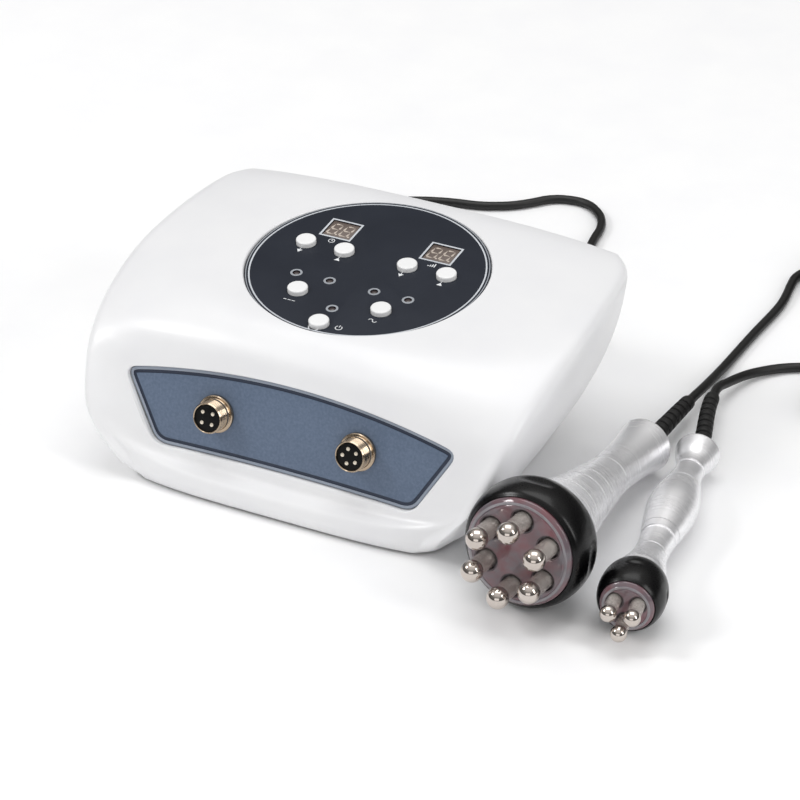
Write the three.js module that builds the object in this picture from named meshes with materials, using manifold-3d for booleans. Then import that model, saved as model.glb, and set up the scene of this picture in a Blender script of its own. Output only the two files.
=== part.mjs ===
// Radio frequency beauty machine: a console, its two handpieces on their cords, and the mains cord.
// Millimetres, +Z up, the operator sits at -Y, and everything stands on z = 0.
import * as THREE from 'three';
import { mergeVertices } from 'three/addons/utils/BufferGeometryUtils.js';
import Module from 'manifold-3d';

const wasm = await Module();
wasm.setup();

// Clearances: between pieces that touch, and round a piece that slides in a hole
const seatGap = 0.3;
const slideGap = 0.35;

// Casing. Each station has a point of the skin's side edge, the skin's middle (y, z) and the foot
// of the side wall (x, y), from the front corner to the back corner.
const casingStations = [
  { edge: [83, -100, 14.5], middle: [-104, 12], foot: [74.5, -99.5], flatness: 4, bulge: 1.5 },
  { edge: [94, -100, 22], middle: [-99.5, 14.3], foot: [83, -93], flatness: 5, bulge: 6 },
  { edge: [102.5, -100.5, 32], middle: [-95.2, 17.8], foot: [86.5, -84], flatness: 6, bulge: 8 },
  { edge: [108, -98, 42], middle: [-91.8, 32], foot: [88, -75], flatness: 6, bulge: 8 },
  { edge: [113, -88.5, 55], middle: [-87.6, 49], foot: [88.5, -66], flatness: 6, bulge: 8 },
  { edge: [117, -76, 65.5], middle: [-83.7, 65], foot: [89, -57], flatness: 5, bulge: 8 },
  { edge: [120.5, -55, 75.5], middle: [-78, 77.5], foot: [89.5, -42], flatness: 4, bulge: 8 },
  { edge: [122, -30, 83], middle: [-64, 86.2], foot: [90, -24], flatness: 3, bulge: 8.5 },
  { edge: [122, -8, 87], middle: [-38, 89], foot: [90, -8], flatness: 3, bulge: 8.5 },
  { edge: [120.5, 18, 89], middle: [-5, 91.4], foot: [90, 8], flatness: 3, bulge: 8.5 },
  { edge: [118.5, 42, 89.2], middle: [35, 93.5], foot: [89.2, 24], flatness: 3, bulge: 8.5 },
  { edge: [115, 62, 88.9], middle: [62, 94.2], foot: [87, 38], flatness: 3, bulge: 8 },
  { edge: [106, 74, 88.5], middle: [76, 92.5], foot: [80, 44.5], flatness: 3, bulge: 6 },
];
const outerRows = [0, 1, 2, 3, 4, 5, 6, 6.5, 7, 7.5, 8, 9, 10, 11, 12];
const innerRows = [0, 1, 2, 4, 6, 7, 8, 10, 12];
const innerColumns = 6;
const footFrontY = -103;
const footBackY = 46;
const casingFootZ = 1.5;
const casingWall = 3;
const edgeRadius = 6;
const meshTolerance = 0.1;

// Base plate and feet
const baseThickness = 2.5;
const footHeight = 4;
const footRadius = 8;
const footPlaces = [[-68, -78], [68, -78], [-64, 26], [64, 26]];

// Control plate, in a frame of its own: z = 0 is the top face, which rises to the rear
const plateHeight = 90;
const plateTilt = 4.8;
const plateRadius = 61.7;
const plateThickness = 2;
const ledgeWidth = 2.1;
const ledgeDepth = 5;
const buttonRadius = 5.15;
const buttonProud = 2.5;
const buttonLip = 1.15;
const buttonLipThickness = 1.5;
const buttonTravel = 1.2;
const buttonPlaces = {
  time_down: [-39.3, 9],
  time_up: [-17.6, 9],
  intensity_down: [17.6, 9],
  intensity_up: [39.3, 9],
  function: [-23, -31.3],
  mode: [23, -31.3],
  on_off: [0, -52.9],
};
const lampRadius = 2.2;
const lampPlaces = [[-31, -17.5], [-12.35, -17.5], [12.35, -17.5], [31, -17.5], [0, -38.9]];
const displaySize = [15.4, 14.2];
const displayRecess = 0.4;
const displayPlaces = { time_display: [-28.15, 26.45], intensity_display: [28.15, 26.45] };
const boardThickness = 1.6;
const boardRadius = 57.5;
const boardTop = -9;
const boardPosts = [[-44, 22], [44, 22], [-42, -22], [42, -22]];

// Socket panel, in a frame of its own: z = 0 is its face, y runs up the face from the lower edge
const panelFoot = [-92.7, 20];
const panelLean = 13.8;
const panelLowerHalf = 70.8;
const panelUpperHalf = 91;
const panelShoulder = 35;
const panelCrown = 46.2;
const panelBow = 1.6;
const panelCorner = 6.5;
const panelThickness = 2.5;
const panelLedge = 3;
const jackHeight = 23;
const jackSpacing = 78;
const jackRadius = 8;
const jackReach = 10.4;
const jackBore = 6.6;
const jackFlangeRadius = 9.6;
const jackFlange = 2.3;
const jackThroat = 7.8;
const jackTail = 12;
const jackContactRadius = 0.85;

// Rear recess with the mains switch, fuse and cord entry; z = 0 is its floor, facing the rear
const rearPlace = [37, 60.6, 40];
const rearLean = 17;
const rearSize = [88, 32];
const rearPad = 3;
const switchSize = [15, 21];
const switchBody = [13, 19];
const switchPlace = -25;
const rockerTilt = 9;
const fusePlace = 4;
const fuseRadius = 6;
const glandPlace = 29;
const glandLength = 30;
const glandRadius = 5;
const ventPitch = 7;
const ventCount = 7;
const ventSize = [3, 26];

// Handpieces: stations run from the lens face back along the axis
const largeHandpiece = {
  name: 'large',
  place: [138.3, -120.8],
  heading: 2.3,
  lensRadius: 27,
  lensThickness: 8,
  collar: [[27.6, 3], [29.6, 5], [31.1, 9.5], [31.5, 15], [31, 20.5], [29, 25.5], [26.6, 28]],
  collarTop: 15,
  neckTop: 22,
  neck: [[24.8, 28.5], [22.9, 33], [20.9, 40], [18.3, 51], [15.7, 65], [13.6, 80], [13.1, 84]],
  grip: [[13, 84.3], [12, 92], [11.3, 102], [11.3, 110], [11.7, 120], [12.8, 132], [14.5, 143]],
  rearRadius: 14.5,
  rearStation: 143,
  length: 144,
  electrodes: 6,
  electrodeCircle: 17.2,
  electrodeTurn: 26.2,
  ballRadius: 5.4,
  stemRadius: 4.5,
  standoff: 14.6,
  wellRadius: 6.2,
  wellDepth: 4,
  bootRadius: 4.9,
  bootTip: [146, 76, 10.5],
  bootAim: [0.03, 1, -0.1],
  route: [[146.2, 101, 7.2], [145.6, 128, 3.4], [146.6, 165, 2.55], [148.6, 205, 2.55]],
};
const smallHandpiece = {
  name: 'small',
  place: [192, -117],
  heading: -8.8,
  lensRadius: 13.1,
  lensThickness: 6,
  collar: [[13.7, 2.5], [15.1, 5], [16.2, 9.5], [16.4, 14], [16, 19], [14.8, 23], [13.4, 25]],
  collarTop: 14,
  neckTop: 18,
  neck: [[12.3, 25.5], [12.3, 30], [10.4, 37], [8.8, 44], [8.2, 52], [8.5, 60], [9.5, 68]],
  grip: [[9.6, 68.3], [11.2, 79], [12.4, 91], [12.1, 99], [11, 107], [9.2, 115], [7.9, 122],
    [7.4, 129], [7.8, 136], [9.8, 142], [11.5, 149]],
  rearRadius: 11.5,
  rearStation: 149,
  length: 150,
  electrodes: 3,
  electrodeCircle: 6.5,
  electrodeTurn: 28.7,
  ballRadius: 4.1,
  stemRadius: 3.4,
  standoff: 11.6,
  wellRadius: 4.6,
  wellDepth: 3,
  bootRadius: 4.4,
  bootTip: [156, 84, 11.5],
  bootAim: [-0.14, 1, -0.05],
  route: [[155.8, 106, 8.2], [161, 126, 4.2], [174, 142, 2.7], [193, 152.5, 2.55]],
};
const bootTipRadius = 3.9;
const bootRibs = 8;

// Cords. Routes are chosen by hand, and the rest of each length lies in a coil of two layers.
const cordDiameter = 5;
const cordSides = 6;
const cordStep = 11;
const cordHeight = cordDiameter / 2 + 0.05;
const coilPitch = 5.6;
const coilSteps = 20;
const coilSides = 6;
const coilTail = 30;
const largeCoil = { centre: [190, 251], turns: 6.472, startAngle: 170, turn: -1, meanRadius: 29 };
const smallCoil = { centre: [236, 126], turns: 6.361, startAngle: 110, turn: -1, meanRadius: 29 };
const mainsCoil = { centre: [-72, 165], turns: 7.25, startAngle: 180, turn: 1, meanRadius: 30 };
const mainsRoute = [
  [65, 118, 16], [61, 142, 2.55], [47, 172, 2.55], [34, 200, 2.55], [28.5, 225, 2.55],
  [24, 248, 2.55], [9, 264, 2.55], [-10, 262.5, 2.55], [-27, 246, 2.55], [-44, 236, 2.55],
  [-60, 232, 2.55], [-78, 226, 2.55], [-98, 213.5, 2.55], [-108.5, 200, 2.55],
];
const turnedSides = 16;
const stemSides = 8;
const plugSides = 12;
const plugRadius = 8;
const plugRingRadius = 9.5;
const plugRingLength = 17;
const plugLength = 46;
const mainsPlugSize = [35, 14, 34];
const pinRadius = 2;
const pinLength = 19;

const colours = {
  white: new THREE.MeshStandardMaterial({ color: 0xeeeef0, roughness: 0.35, metalness: 0 }),
  graphite: new THREE.MeshStandardMaterial({ color: 0x373c46, roughness: 0.5, metalness: 0.1 }),
  blueGrey: new THREE.MeshStandardMaterial({ color: 0x637586, roughness: 0.55, metalness: 0.1 }),
  nickel: new THREE.MeshStandardMaterial({ color: 0xc9bfb2, roughness: 0.2, metalness: 1 }),
  chrome: new THREE.MeshStandardMaterial({ color: 0xe2e0dd, roughness: 0.08, metalness: 1 }),
  aluminium: new THREE.MeshStandardMaterial({ color: 0xc6c6c9, roughness: 0.4, metalness: 0.9 }),
  black: new THREE.MeshStandardMaterial({ color: 0x141416, roughness: 0.4, metalness: 0 }),
  rubber: new THREE.MeshStandardMaterial({ color: 0x1b1b1c, roughness: 0.7, metalness: 0 }),
  smoky: new THREE.MeshStandardMaterial({ color: 0x86787c, roughness: 0.15, metalness: 0 }),
  window: new THREE.MeshStandardMaterial({ color: 0x6d6460, roughness: 0.2, metalness: 0 }),
  board: new THREE.MeshStandardMaterial({ color: 0x1d5b3a, roughness: 0.5, metalness: 0 }),
  copper: new THREE.MeshStandardMaterial({ color: 0x9a6a45, roughness: 0.5, metalness: 0.6 }),
};

const vector = (x, y, z) => new THREE.Vector3(x, y, z);
const radians = THREE.MathUtils.degToRad;

// Solids and booleans
function solid(geometry) {
  const bare = geometry.clone();
  bare.deleteAttribute('normal');
  bare.deleteAttribute('uv');
  const merged = mergeVertices(bare, 1e-4);
  const vertProperties = new Float32Array(merged.attributes.position.array);
  const corners = Array.from(merged.index.array);
  const kept = corners.filter((_, n) => {
    const [a, b, c] = corners.slice(n - (n % 3), n - (n % 3) + 3);
    return a !== b && b !== c && c !== a;
  });
  const triVerts = new Uint32Array(kept);
  return new wasm.Manifold(new wasm.Mesh({ numProp: 3, vertProperties, triVerts }));
}

function shape(manifold) {
  const mesh = manifold.getMesh();
  const geometry = new THREE.BufferGeometry();
  geometry.setAttribute('position', new THREE.BufferAttribute(mesh.vertProperties, 3));
  geometry.setIndex(new THREE.BufferAttribute(mesh.triVerts, 1));
  return geometry;
}

const cut = (body, tools) => tools.reduce((left, tool) => left.subtract(solid(tool)), body);
const join = (body, others) => others.reduce((sum, other) => sum.add(solid(other)), body);

function box(width, depth, height, x, y, z) {
  return new THREE.BoxGeometry(width, depth, height).translate(x, y, z);
}

// A cylinder along z from low to high
function post(radius, low, high, x = 0, y = 0, sides = 16) {
  const geometry = new THREE.CylinderGeometry(radius, radius, high - low, sides);
  return geometry.rotateX(Math.PI / 2).translate(x, y, (low + high) / 2);
}

// A profile of [radius, station] points turned about y
function turned(profile, sides) {
  return new THREE.LatheGeometry(profile.map(([r, s]) => new THREE.Vector2(r, s)), sides);
}

// The same, with the stations running up z
function turnedUp(profile, sides) {
  return turned(profile, sides).rotateX(Math.PI / 2);
}

function circle(radius, x, y, sides) {
  return Array.from({ length: sides }, (_, k) => {
    const a = (k / sides) * 2 * Math.PI;
    return new THREE.Vector2(x + radius * Math.cos(a), y + radius * Math.sin(a));
  });
}

// A flat outline with holes, from low to high
function slab(outline, holes, low, high) {
  const face = new THREE.Shape(outline);
  face.holes = holes.map((points) => new THREE.Path(points));
  const geometry = new THREE.ExtrudeGeometry(face, { depth: high - low, bevelEnabled: false });
  return geometry.translate(0, 0, low);
}

// Rounds the corners of an outline with a few points each
function rounded(corners, radius, steps = 3) {
  return corners.flatMap((p, n) => {
    const before = corners.at(n - 1).clone().sub(p);
    const after = corners[(n + 1) % corners.length].clone().sub(p);
    const from = p.clone().addScaledVector(before.normalize(), radius);
    const to = p.clone().addScaledVector(after.normalize(), radius);
    return new THREE.QuadraticBezierCurve(from, p, to).getPoints(steps);
  });
}

// Moves every side of a convex outline outwards by the same distance
function grown(outline, distance) {
  return outline.map((p, n) => {
    const before = p.clone().sub(outline.at(n - 1)).normalize();
    const after = outline[(n + 1) % outline.length].clone().sub(p).normalize();
    const normal = new THREE.Vector2(before.y + after.y, -before.x - after.x);
    return p.clone().addScaledVector(normal, distance / (1 + before.dot(after)));
  });
}

function rectangle(width, height, x = 0, y = 0) {
  return [[-1, -1], [1, -1], [1, 1], [-1, 1]].map(
    ([i, j]) => new THREE.Vector2(x + (i * width) / 2, y + (j * height) / 2),
  );
}

// A tube of any radius along a line of points, with flat ends
function sweep(line, radii, sides) {
  const points = [];
  const faces = [];
  line.forEach((p, n) => {
    const ahead = line[Math.min(n + 1, line.length - 1)];
    const along = ahead.clone().sub(line[Math.max(n - 1, 0)]).normalize();
    const side = vector(along.y, -along.x, 0).normalize();
    const up = side.clone().cross(along);
    for (let k = 0; k < sides; k += 1) {
      const a = ((k + 0.5) / sides) * 2 * Math.PI;
      const out = side.clone().multiplyScalar(Math.cos(a)).addScaledVector(up, Math.sin(a));
      points.push(p.clone().addScaledVector(out, radii[n]));
    }
  });
  for (let n = 0; n + 1 < line.length; n += 1) {
    for (let k = 0; k < sides; k += 1) {
      const [a, b] = [n * sides + k, n * sides + ((k + 1) % sides)];
      faces.push([a, b + sides, b], [a, a + sides, b + sides]);
    }
  }
  const last = (line.length - 1) * sides;
  for (let k = 1; k + 1 < sides; k += 1) {
    faces.push([0, k, k + 1], [last, last + k + 1, last + k]);
  }
  const geometry = new THREE.BufferGeometry();
  const flat = points.flatMap((p) => p.toArray());
  geometry.setAttribute('position', new THREE.Float32BufferAttribute(flat, 3));
  geometry.setIndex(faces.flat());
  return geometry;
}

function add(group, name, geometry, material) {
  const mesh = new THREE.Mesh(geometry, material);
  mesh.name = name;
  group.add(mesh);
  return mesh;
}

// Frames of the console's three working faces
function frameAt(place, right, up) {
  const frame = new THREE.Group();
  frame.applyMatrix4(new THREE.Matrix4().makeBasis(right, up, right.clone().cross(up)));
  frame.position.set(...place);
  frame.updateMatrix();
  return frame;
}
const tilted = (degrees) => vector(0, Math.cos(radians(degrees)), Math.sin(radians(degrees)));
const plateFrame = frameAt([0, 0, plateHeight], vector(1, 0, 0), tilted(plateTilt));
const panelFrame = frameAt([0, ...panelFoot], vector(1, 0, 0), tilted(90 - panelLean));
const rearFrame = frameAt(rearPlace, vector(-1, 0, 0), tilted(90 - rearLean));

// Casing skin
function between(rows, t) {
  const span = rows.length - 1;
  const at = Math.min(Math.floor(t * span), span - 1);
  const f = t * span - at;
  const near = [at - 1, at, at + 1, at + 2].map((i) => rows[Math.min(Math.max(i, 0), span)]);
  return near[1].map((_, k) => {
    const [a, b, c, d] = near.map((row) => row[k]);
    return b + 0.5 * f * (c - a + f * (2 * a - 5 * b + 4 * c - d + f * (3 * (b - c) + d - a)));
  });
}

const stationRows = casingStations.map((s) => [...s.edge, ...s.middle, ...s.foot, s.flatness, s.bulge]);

function skinPoint(s, t) {
  const [x, y, z, middleY, middleZ, , , flatness] = between(stationRows, t);
  const g = Math.abs(s) ** flatness;
  return vector(x * s, middleY + (y - middleY) * g, middleZ + (z - middleZ) * g);
}

function footPoint(s, t) {
  const [, , , , , x, sideY] = between(stationRows, t);
  const g = Math.abs(s) ** casingStations[0].flatness;
  const ends = { 0: footFrontY, 1: footBackY };
  const y = t in ends ? ends[t] + (sideY - ends[t]) * g : sideY;
  return vector(x * s, y, casingFootZ);
}

// The casing as a closed body: skin grid, rounded edge, leaning wall and flat underside, with every
// face moved inwards by inset
function casingBody({ columns, rowStations, edgeSteps, wallSteps, inset, footZ }) {
  const rows = rowStations.length - 1;
  const sAt = (i) => {
    const half = i / columns - 0.5;
    return Math.sin(half * Math.PI) * 0.35 + half * 1.3;
  };
  const tAt = (j) => rowStations[j] / (casingStations.length - 1);
  const index = (i, j) => j * (columns + 1) + i;
  const points = [];
  const faces = [];
  for (let j = 0; j <= rows; j += 1) {
    for (let i = 0; i <= columns; i += 1) points.push(skinPoint(sAt(i), tAt(j)));
  }
  for (let j = 0; j < rows; j += 1) {
    for (let i = 0; i < columns; i += 1) {
      faces.push([index(i, j), index(i + 1, j), index(i + 1, j + 1)]);
      faces.push([index(i, j), index(i + 1, j + 1), index(i, j + 1)]);
    }
  }
  const loop = [];
  const inner = (k, last) => Math.min(Math.max(k, 1), last - 1);
  for (let i = 0; i < columns; i += 1) loop.push([i, 0]);
  for (let j = 0; j < rows; j += 1) loop.push([columns, j]);
  for (let i = columns; i > 0; i -= 1) loop.push([i, rows]);
  for (let j = rows; j > 0; j -= 1) loop.push([0, j]);
  const count = loop.length;
  const rims = loop.map(([i, j]) => points[index(i, j)].clone());
  const feet = loop.map(([i, j]) => footPoint(sAt(i), tAt(j)));
  const wallPoint = (n, v) => {
    const along = rims[(n + 1) % count].clone().sub(rims.at(n - 1));
    const out = vector(along.y, -along.x, 0).normalize();
    const bulge = between(stationRows, tAt(loop[n][1]))[8];
    return rims[n].clone().lerp(feet[n], v).addScaledVector(out, bulge * 4 * v * (1 - v));
  };
  const starts = loop.map(([i, j], n) => {
    const toward = points[index(inner(i, columns), inner(j, rows))].clone().sub(rims[n]);
    return rims[n].clone().addScaledVector(toward, Math.min(edgeRadius / toward.length(), 0.6));
  });
  const reach = rims.map((rim, n) => Math.min(edgeRadius / rim.distanceTo(feet[n]), 0.45));
  const ends = rims.map((_, n) => wallPoint(n, reach[n]));
  loop.forEach(([i, j], n) => points[index(i, j)].copy(starts[n]));
  const rings = [loop.map(([i, j]) => index(i, j))];
  for (let k = 1; k <= edgeSteps; k += 1) {
    const curve = (n) => new THREE.QuadraticBezierCurve3(starts[n], rims[n], ends[n]);
    rings.push(rims.map((_, n) => points.push(curve(n).getPoint(k / edgeSteps)) - 1));
  }
  for (let k = 1; k <= wallSteps; k += 1) {
    const at = (n) => reach[n] + (1 - reach[n]) * (k / wallSteps);
    rings.push(rims.map((_, n) => points.push(wallPoint(n, at(n))) - 1));
  }
  for (let k = 0; k + 1 < rings.length; k += 1) {
    for (let n = 0; n < count; n += 1) {
      const next = (n + 1) % count;
      faces.push([rings[k][n], rings[k + 1][n], rings[k + 1][next]]);
      faces.push([rings[k][n], rings[k + 1][next], rings[k][next]]);
    }
  }
  const geometry = new THREE.BufferGeometry();
  const place = () => {
    const flat = points.flatMap((p) => p.toArray());
    geometry.setAttribute('position', new THREE.Float32BufferAttribute(flat, 3));
    geometry.setIndex(faces.flat());
  };
  place();
  geometry.computeVertexNormals();
  const normals = geometry.attributes.normal;
  points.forEach((p, n) => p.addScaledVector(vector().fromBufferAttribute(normals, n), -inset));
  const last = rings.at(-1);
  last.forEach((n) => points[n].setZ(footZ));
  const middle = points.push(vector(0, (footFrontY + footBackY) / 2, footZ)) - 1;
  last.forEach((n, k) => faces.push([n, middle, last[(k + 1) % count]]));
  place();
  return geometry;
}

const inFrame = (frame, geometry) => geometry.clone().applyMatrix4(frame.matrix);

function panelOutline() {
  const arc = new THREE.QuadraticBezierCurve(
    new THREE.Vector2(panelUpperHalf, panelShoulder),
    new THREE.Vector2(0, 2 * panelCrown - panelShoulder),
    new THREE.Vector2(-panelUpperHalf, panelShoulder),
  );
  const top = arc.getPoints(8);
  const lower = [new THREE.Vector2(-panelLowerHalf, 0), new THREE.Vector2(panelLowerHalf, 0)];
  const bow = [-0.55, 0, 0.55].map((k) => {
    return new THREE.Vector2(k * panelLowerHalf, panelBow * (1 - k * k));
  });
  const corner = (before, p, after) => rounded([before, p, after], panelCorner).slice(4, 8);
  return [
    ...corner(top.at(-1), lower[0], bow[0]),
    ...bow,
    ...corner(bow[2], lower[1], top[0]),
    ...corner(lower[1], top[0], top[1]),
    ...top.slice(1, -1),
    ...corner(top.at(-2), top.at(-1), lower[0]),
  ];
}

// The opening behind the panel, which leaves a ledge all round
function panelWindow(outline) {
  const half = panelCrown / 2;
  return outline.map((p) => new THREE.Vector2(p.x * 0.93, half + (p.y - half) * 0.84));
}

function casing() {
  const outer = casingBody({
    columns: 14, rowStations: outerRows, edgeSteps: 2, wallSteps: 3, inset: 0, footZ: casingFootZ,
  });
  const hollow = casingBody({
    columns: innerColumns, rowStations: innerRows, edgeSteps: 1, wallSteps: 2, inset: casingWall, footZ: -1,
  });
  const outline = panelOutline();
  const ledgeTop = -plateThickness - seatGap;
  const ringRadius = plateRadius + slideGap + casingWall;
  const panelBack = -panelThickness - seatGap;
  const rearOutline = rounded(rectangle(...rearSize), 6);
  const [switchWidth, switchHeight] = switchBody.map((side) => side + 2 * seatGap);
  const pads = [
    inFrame(plateFrame, post(ringRadius, ledgeTop - ledgeDepth, ledgeTop + 1, 0, 0, 36)),
    inFrame(panelFrame, slab(grown(outline, panelLedge), [], panelBack - panelLedge, panelBack + 1)),
    inFrame(rearFrame, slab(grown(rearOutline, 3), [], -rearPad, 0)),
  ];
  const vents = Array.from({ length: ventCount }, (_, k) => {
    const x = rearSize[0] / 2 + 14 + k * ventPitch;
    return inFrame(rearFrame, box(ventSize[0], ventSize[1], 30, x, 0, 0));
  });
  const cuts = [
    inFrame(plateFrame, post(plateRadius + slideGap, ledgeTop, 20, 0, 0, 36)),
    inFrame(plateFrame, post(plateRadius - ledgeWidth, ledgeTop - ledgeDepth - 1, 1, 0, 0, 30)),
    inFrame(panelFrame, slab(grown(outline, slideGap), [], panelBack, 30)),
    inFrame(panelFrame, slab(panelWindow(outline), [], panelBack - panelLedge - 1, 0)),
    inFrame(rearFrame, slab(rearOutline, [], 0, 30)),
    inFrame(rearFrame, box(switchWidth, switchHeight, 20, -switchPlace, 0, -5)),
    inFrame(rearFrame, post(fuseRadius + seatGap, -20, 5, -fusePlace, 0, 16)),
    inFrame(rearFrame, post(glandRadius + seatGap, -20, 5, -glandPlace, 0, 10)),
    ...vents,
  ];
  const skin = solid(outer);
  const shell = join(skin.subtract(solid(hollow)), pads).intersect(skin);
  return shape(cut(shell, cuts).simplify(meshTolerance));
}

// The flat base closes the casing from below and stands a little above the casing's lower edge
function basePlate() {
  const low = footHeight + seatGap;
  const inset = casingWall + 1.5 * seatGap;
  const inside = casingBody({
    columns: innerColumns, rowStations: innerRows, edgeSteps: 1, wallSteps: 2, inset, footZ: 0,
  });
  const plate = solid(box(260, 200, baseThickness, 0, -25, low + baseThickness / 2));
  return shape(plate.intersect(solid(inside)));
}

function controlPlate() {
  const reach = buttonRadius + slideGap;
  const holes = [
    ...Object.values(buttonPlaces).map(([x, y]) => circle(reach, x, y, 12)),
    ...lampPlaces.map(([x, y]) => circle(lampRadius + seatGap, x, y, 8)),
    ...Object.values(displayPlaces).map(([x, y]) => {
      return rectangle(displaySize[0] + 2 * seatGap, displaySize[1] + 2 * seatGap, x, y);
    }),
  ];
  const disc = solid(slab(circle(plateRadius, 0, 0, 36), [], -plateThickness, 0));
  return shape(cut(disc, holes.map((hole) => slab(hole, [], -plateThickness - 1, 1))));
}

function button([x, y]) {
  const lip = -plateThickness - seatGap;
  const profile = [
    [0, lip - buttonLipThickness],
    [buttonRadius + buttonLip, lip - buttonLipThickness],
    [buttonRadius + buttonLip, lip],
    [buttonRadius, lip],
    [buttonRadius, buttonProud - 0.8],
    [buttonRadius - 0.8, buttonProud],
    [0, buttonProud],
  ];
  return shape(solid(turnedUp(profile, 12))).translate(x, y, 0);
}

// The board with its switches, lamps and posts, which reach up to the plate
function controlBoard() {
  const switchTop = -plateThickness - seatGap - buttonLipThickness - buttonTravel - seatGap;
  const parts = [
    ...Object.values(buttonPlaces).map(([x, y]) => {
      return box(6, 6, switchTop - boardTop + 0.5, x, y, (switchTop + boardTop - 0.5) / 2);
    }),
    ...lampPlaces.map(([x, y]) => post(lampRadius, boardTop - 0.5, 0.1, x, y, 8)),
    ...boardPosts.map(([x, y]) => post(3, boardTop - 0.5, -plateThickness - seatGap, x, y, 8)),
  ];
  return shape(join(solid(post(boardRadius, boardTop - boardThickness, boardTop, 0, 0, 32)), parts));
}

function display([x, y]) {
  const low = boardTop + seatGap;
  return box(...displaySize, -displayRecess - low, x, y, (low - displayRecess) / 2);
}

function addControls() {
  add(plateFrame, 'control_plate', controlPlate(), colours.graphite);
  Object.entries(buttonPlaces).forEach(([name, place]) => {
    add(plateFrame, `${name}_button`, button(place), colours.white);
  });
  Object.entries(displayPlaces).forEach(([name, place]) => {
    add(plateFrame, name, display(place), colours.window);
  });
  add(plateFrame, 'control_board', controlBoard(), colours.board);
}

function jackShell() {
  const profile = [
    [jackBore, -jackTail],
    [jackThroat, -jackTail],
    [jackThroat, seatGap],
    [jackFlangeRadius, seatGap],
    [jackFlangeRadius, jackFlange],
    [jackRadius, jackFlange + 0.6],
    [jackRadius, jackReach - 1],
    [jackRadius - 0.8, jackReach],
    [jackBore, jackReach],
    [jackBore, -jackTail],
  ];
  return turnedUp(profile, 16);
}

function jackInsert(contacts) {
  const profile = [
    [0, -jackTail + 2],
    [jackBore - seatGap, -jackTail + 2],
    [jackBore - seatGap, jackReach - 1.2],
    [0, jackReach - 1.2],
  ];
  const pins = Array.from({ length: contacts }, (_, k) => {
    const a = ((k + 0.5) / contacts) * 2 * Math.PI;
    const [x, y] = [3.9 * Math.cos(a), 3.9 * Math.sin(a)];
    return post(jackContactRadius, -jackTail - 3, jackReach - 0.6, x, y, 6);
  });
  return shape(join(solid(turnedUp(profile, 16)), pins));
}

function addSockets() {
  const outline = panelOutline();
  const places = { jack_four_pin: -jackSpacing / 2, jack_five_pin: jackSpacing / 2 };
  const holes = Object.values(places).map((x) => circle(jackThroat + seatGap, x, jackHeight, 16));
  add(panelFrame, 'jack_panel', slab(outline, holes, -panelThickness, 0), colours.blueGrey);
  Object.entries(places).forEach(([name, x]) => {
    const contacts = x < 0 ? 4 : 5;
    add(panelFrame, `${name}_shell`, jackShell().translate(x, jackHeight, 0), colours.nickel);
    add(panelFrame, `${name}_insert`, jackInsert(contacts).translate(x, jackHeight, 0), colours.black);
  });
}

// Switch frame with a pocket in which the rocker turns
function switchBezel() {
  const flange = box(...switchSize, 1.7, 0, 0, seatGap + 0.85);
  const body = box(...switchBody, 14, 0, 0, seatGap + 0.5 - 7);
  const pocket = box(switchSize[0] - 4, switchSize[1] - 4, 12, 0, 0, -2);
  return shape(cut(join(solid(flange), [body]), [pocket]));
}

// The rocker at rest, with its lower half pressed in; it turns about the x axis of its own frame
function rocker() {
  const side = [[-7.6, 3.8], [-7, -0.5], [0, -3], [7, -0.5], [7.6, 3.8], [0, 2.6]];
  const width = switchSize[0] - 4 - 2 * slideGap;
  const profile = side.map(([y, z]) => new THREE.Vector2(y, z));
  const body = slab(profile.reverse(), [], -width / 2, width / 2).rotateY(Math.PI / 2);
  return body.rotateX(Math.PI / 2).rotateX(radians(rockerTilt));
}

function fuseHolder() {
  const profile = [
    [0, -16],
    [fuseRadius, -16],
    [fuseRadius, seatGap],
    [fuseRadius + 2, seatGap],
    [fuseRadius + 2, 2],
    [fuseRadius + 0.8, 3.4],
    [0, 3.4],
  ];
  return shape(cut(solid(turnedUp(profile, 16)), [box(8, 1.4, 2.4, 0, 0, 3.4)]));
}

// Cord entry: a flange on the wall, a short neck through it and a ribbed sleeve outside
function gland() {
  const ribs = Array.from({ length: 5 }, (_, k) => {
    const station = 5 + k * 5;
    const radius = 5.2 - k * 0.2;
    return [[radius - 0.8, station], [radius, station + 1], [radius, station + 3.5]];
  }).flat();
  const profile = [
    [0, -6],
    [glandRadius, -6],
    [glandRadius, seatGap],
    [7.5, seatGap],
    [7.5, 2.4],
    [5.6, 3.6],
    ...ribs,
    [3.9, glandLength],
    [0, glandLength],
  ];
  return turnedUp(profile, 10);
}

function addRear() {
  const at = (geometry, x) => geometry.translate(-x, 0, 0);
  add(rearFrame, 'rocker_bezel', at(switchBezel(), switchPlace), colours.black);
  const lever = add(rearFrame, 'power_rocker', rocker(), colours.black);
  lever.position.set(-switchPlace, 0, -0.6);
  add(rearFrame, 'fuse_holder', at(fuseHolder(), fusePlace), colours.black);
  add(rearFrame, 'cord_gland', at(shape(solid(gland())), glandPlace), colours.rubber);
}

function foot(x, y) {
  const profile = [[0, 0], [footRadius - 1, 0], [footRadius, 1], [footRadius, footHeight], [0, footHeight]];
  return shape(solid(turnedUp(profile, 16))).translate(x, y, 0);
}

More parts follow.
